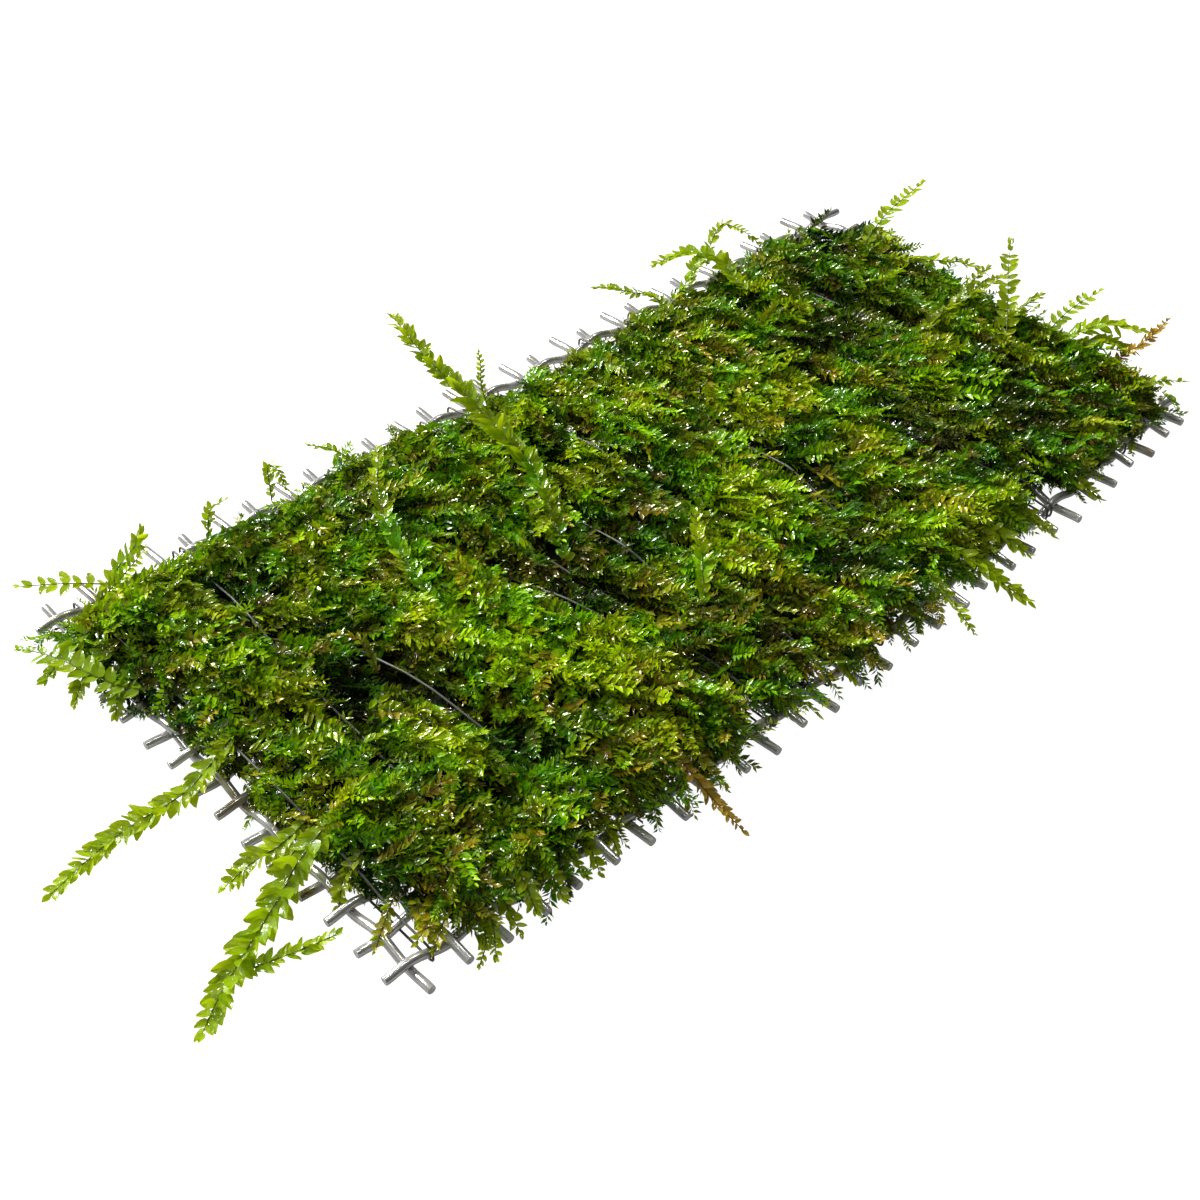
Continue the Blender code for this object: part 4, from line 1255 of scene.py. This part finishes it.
# Smaller shoots at the edges and on top: route, breadth, tone, dryness
looseShoots = {
    "shootsLeft": (
        (((4.2, 46.4, 3.4), (5.4, 47.3, 4.6), (7.4, 47.3, 6.0), (8.6, 47.8, 6.8)), 2.0, 0.66, 0.0),
        (((0.2, 43.5, 3.4), (-2.6, 43.2, 2.6), (-5.0, 42.4, 1.8)), 2.0, 0.62, 0.0),
        (((0.6, 40.0, 3.4), (-1.7, 40.6, 2.8), (-4.2, 38.9, 1.6)), 2.0, 0.6, 0.0),
        (((0.6, 36.0, 3.2), (-1.0, 36.9, 2.8), (-2.6, 35.4, 1.4)), 1.8, 0.58, 0.0),
        (((3.0, 9.0, 3.4), (0.6, 8.4, 2.2), (-1.2, 7.0, 1.0)), 1.6, 0.6, 0.4),
        (((2.4, 4.6, 2.6), (0.4, 3.4, 1.9), (-1.0, 2.6, 1.0)), 1.3, 0.55, 1.0),
        (((4.6, 2.8, 2.6), (3.0, 1.2, 2.3), (1.2, 0.6, 1.8)), 1.4, 0.66, 0.9),
        (((5.0, 1.4, 2.5), (3.2, 0.2, 2.0), (1.8, -0.6, 1.6)), 1.2, 0.60, 0.9),
        (((3.6, 3.8, 2.6), (2.6, 1.8, 2.3), (2.2, 0.2, 1.7)), 1.3, 0.64, 0.8),
    ),
    "shootsFar": (
        (((78.0, 47.7, 4.0), (80.1, 49.3, 5.0), (82.2, 49.6, 6.5), (82.6, 46.8, 6.7),
          (83.0, 45.1, 6.0)), 1.4, 0.62, 0.1),
        (((73.0, 45.4, 4.8), (75.0, 46.6, 5.6), (77.6, 47.6, 5.6)), 1.9, 0.66, 0.0),
        (((44.8, 44.6, 4.0), (45.5, 46.2, 5.2), (46.1, 46.9, 6.6), (46.3, 47.4, 8.2)),
         0.9, 0.58, 0.0),
        (((21.0, 46.5, 4.2), (22.3, 48.6, 6.0), (22.4, 47.2, 6.6), (22.1, 45.5, 5.5)),
         1.2, 0.6, 0.0),
        (((14.0, 46.2, 4.2), (15.4, 47.8, 5.4), (16.8, 47.4, 6.0)), 1.2, 0.6, 0.0),
        (((30.0, 44.6, 4.2), (29.0, 47.6, 5.0), (27.4, 49.6, 5.4)), 1.2, 0.6, 0.0),
    ),
    "shootsRight": (
        (((95.4, 39.0, 5.3), (94.4, 36.4, 6.2), (93.4, 33.9, 6.2)), 1.2, 0.6, 0.0),
        (((93.0, 35.5, 4.6), (92.6, 31.5, 6.2), (94.1, 28.6, 6.6), (95.3, 26.9, 6.6),
          (96.2, 25.1, 6.0)), 1.6, 0.62, 0.1),
        (((84.6, 23.8, 4.4), (87.2, 23.6, 5.6), (89.6, 23.3, 6.2), (91.9, 22.9, 6.7),
          (95.9, 22.2, 7.2)), 1.7, 0.52, 0.35),
        (((89.2, 23.3, 5.9), (92.0, 23.8, 6.9), (95.0, 23.9, 7.6)), 1.5, 0.5, 0.45),
        (((92.6, 13.4, 4.4), (93.8, 11.9, 6.0), (95.8, 10.2, 7.0), (97.1, 8.7, 7.0),
          (98.7, 7.3, 6.5)), 2.0, 0.68, 0.0),
        (((91.0, 4.4, 4.2), (92.9, 2.4, 5.5), (94.1, 0.9, 6.0), (95.2, -0.2, 6.0)), 1.4, 0.64, 0.0),
        (((92.6, 11.2, 4.6), (95.0, 9.4, 5.8), (96.4, 6.4, 5.6)), 2.2, 0.62, 0.3),
        (((91.0, 19.4, 4.6), (93.6, 18.0, 6.4), (95.4, 17.4, 7.2)), 1.7, 0.64, 0.0),
    ),
    "shootsNear": (
        (((58.0, 0.4, 3.6), (57.5, -3.0, 2.4), (56.8, -6.0, 1.4)), 1.3, 0.66, 0.0),
        (((10.4, 1.0, 3.4), (10.2, -1.0, 2.6), (9.6, -3.0, 1.6)), 1.6, 0.66, 0.2),
        (((12.6, 1.0, 3.2), (12.4, -1.4, 2.2), (12.0, -3.4, 1.2)), 1.5, 0.60, 0.1),
        (((9.4, 1.6, 3.0), (8.4, -0.8, 1.8), (7.9, -3.2, 0.7)), 1.5, 0.58, 0.3),
        (((14.6, 1.0, 3.0), (14.8, -1.2, 1.8), (14.9, -2.8, 0.9)), 1.3, 0.62, 0.1),
        (((7.4, 2.4, 3.2), (6.4, 0.8, 2.4), (5.2, -0.6, 1.4)), 1.4, 0.5, 0.9),
        (((7.6, 0.6, 1.6), (6.6, -1.6, 1.0), (5.2, -3.6, 0.7)), 1.5, 0.62, 0.0),
        (((6.6, -0.2, 1.4), (5.4, -2.2, 0.9), (3.8, -3.4, 0.7)), 1.2, 0.58, 0.3),
        (((16.6, 0.8, 2.2), (16.5, -1.4, 1.4), (15.8, -3.2, 0.9)), 1.4, 0.60, 0.2),
        (((19.0, 0.8, 2.4), (18.6, -1.2, 1.6), (18.2, -2.6, 1.0)), 1.4, 0.62, 0.3),
        (((45.0, 1.0, 3.2), (45.2, -1.0, 2.2), (45.0, -2.8, 1.4)), 1.6, 0.60, 0.3),
        (((71.0, 1.0, 3.6), (71.6, -1.2, 2.6), (71.8, -3.0, 1.8)), 1.6, 0.62, 0.1),
        (((78.0, 1.0, 3.6), (78.8, -1.0, 2.6), (79.2, -2.8, 1.8)), 1.6, 0.60, 0.1),
        (((66.0, 1.4, 4.0), (66.8, -1.2, 3.4), (67.6, -3.4, 2.2)), 1.9, 0.74, 0.0),
        (((27.6, 0.6, 4.0), (28.0, -2.0, 3.2), (28.2, -4.2, 2.2)), 1.1, 0.55, 0.9),
    ),
    "shootsOnTop": (
        (((22.6, 24.3, 5.0), (24.8, 33.3, 6.0), (27.6, 39.0, 6.6), (30.5, 42.7, 7.2)),
         1.9, 0.60, 0.0),
        (((39.6, 9.6, 4.8), (42.6, 13.2, 6.4), (45.4, 16.8, 7.2)), 1.7, 0.74, 0.0),
        (((34.6, 21.6, 4.8), (37.0, 26.0, 6.0), (39.2, 31.0, 6.8), (41.0, 36.4, 7.0)),
         2.0, 0.62, 0.0),
        (((14.4, 22.0, 4.6), (14.8, 24.4, 6.2), (13.4, 26.4, 6.4), (11.4, 26.8, 5.6)),
         1.2, 0.5, 1.0),
    ),
}
for group, (name, shoots) in enumerate(looseShoots.items()):
    onTop = name == "shootsOnTop"
    made = [leafyShoot(route, breadth, tone, dryness, 200 + 20 * group + k)
            for k, (route, breadth, tone, dryness) in enumerate(shoots)]
    trianglePiece(name, *joinShoots(made), mossLeaf if onTop else frondLeaf, "frond")
print("loose shoots made:", len(looseShoots))

# Floor, light and camera

# Glow and sky are strengths, first for light and reflections, then as the camera sees them
stageLook = {"floorSize": 3.0, "floorColour": 0.22, "glow": (0.24, 1.0), "sky": (0.03, 1.6)}


def makeFloor():
    bpy.ops.object.select_all(action="DESELECT")
    bpy.ops.mesh.primitive_plane_add(size=stageLook["floorSize"], location=(0, 0, -0.00003))
    floor = bpy.context.active_object
    floor.name = "paleFloor"
    bpy.ops.object.transform_apply(location=True, rotation=True, scale=True)
    material, tree, shader = newMaterial("palePaper")
    shader.inputs["Base Color"].default_value = (*[stageLook["floorColour"]] * 3, 1)
    shader.inputs["Roughness"].default_value = 0.9
    shader.inputs["Specular IOR Level"].default_value = 0.1
    shader.inputs["Emission Color"].default_value = (1, 1, 1, 1)
    seen = addNode(tree, "ShaderNodeLightPath", (-600, -200)).outputs["Is Camera Ray"]
    glow = rangeNode(tree, (-300, -200), seen, result=stageLook["glow"])
    tree.links.new(glow, shader.inputs["Emission Strength"])
    floor.data.materials.append(material)


makeFloor()

# Soft boxes: place and aim point in metres, size across, power in watts
softLights = {
    "keyBox": ((-0.12, 0.57, 0.38), (0, 0, 0), 0.34, 14.4),
    "fillBox": ((-0.50, -0.20, 0.45), (0, 0, 0), 0.30, 0.5),
    "sideBox": ((0.36, 0.16, 0.60), (0, 0, 0), 0.14, 1.0),
}
# Small lamps for the glints on wet leaves
glintLamps = {
    "glintLeft": (-0.40, 0.10, 0.62),
    "glintMiddle": (0.05, 0.10, 0.75),
    "glintRight": (0.18, -0.04, 0.72),
    "glintFront": (-0.20, -0.20, 0.70),
}
glintLook = {"size": 0.04, "power": 0.42}


def makeLight(name, place, aim, size, power):
    bpy.ops.object.light_add(type="AREA", location=place)
    lamp = bpy.context.active_object
    lamp.name = name
    lamp.data.size = size
    lamp.data.energy = power
    lamp.rotation_euler = (Vector(aim) - Vector(place)).to_track_quat("-Z", "Y").to_euler()


for name, (place, aim, size, power) in softLights.items():
    makeLight(name, place, aim, size, power)
for name, place in glintLamps.items():
    makeLight(name, place, (0, 0, 0), glintLook["size"], glintLook["power"])

world = bpy.data.worlds.new("studio")
bpy.context.scene.world = world
world.use_nodes = True
worldTree = world.node_tree
sky = worldTree.nodes["Background"]
direction = addNode(worldTree, "ShaderNodeTexCoord", (-900, 0))
heightOf = addNode(worldTree, "ShaderNodeSeparateXYZ", (-700, 0))
worldTree.links.new(direction.outputs["Generated"], heightOf.inputs["Vector"])
skyColour = rampNode(worldTree, (-450, 0), heightOf.outputs["Z"], (
    (0.0, (0.9, 0.9, 0.9)), (0.30, (0.7, 0.7, 0.7)), (0.75, (0.85, 0.86, 0.88)),
    (1.0, (0.95, 0.96, 1.0))))
worldTree.links.new(skyColour, sky.inputs["Color"])
# a dim room, but the camera sees the same white behind the object as below it
skySeen = addNode(worldTree, "ShaderNodeLightPath", (-700, -300)).outputs["Is Camera Ray"]
skyGlow = rangeNode(worldTree, (-450, -300), skySeen, result=stageLook["sky"])
worldTree.links.new(skyGlow, sky.inputs["Strength"])

# The photograph's camera, in millimetres from the first crossing, and its lens on a 36 mm frame
cameraLook = {
    "place": (-41.62, -65.73, 107.87),
    "forward": (0.49573, 0.53997, -0.68021),
    "lens": 53.63,
}
bpy.ops.object.camera_add(location=toWorld(cameraLook["place"]))
camera = bpy.context.active_object
camera.name = "camera"
camera.rotation_euler = Vector(cameraLook["forward"]).to_track_quat("-Z", "Y").to_euler()
camera.data.lens = cameraLook["lens"]
camera.data.sensor_width = 36
camera.data.clip_start = 0.005
bpy.context.scene.camera = camera
bpy.context.scene.view_settings.view_transform = "Standard"

total = sum(len(piece.data.polygons) for piece in bpy.data.objects
            if piece.type == "MESH" and piece.data.attributes.get("growth"))
print("leafy triangles in all:", total)
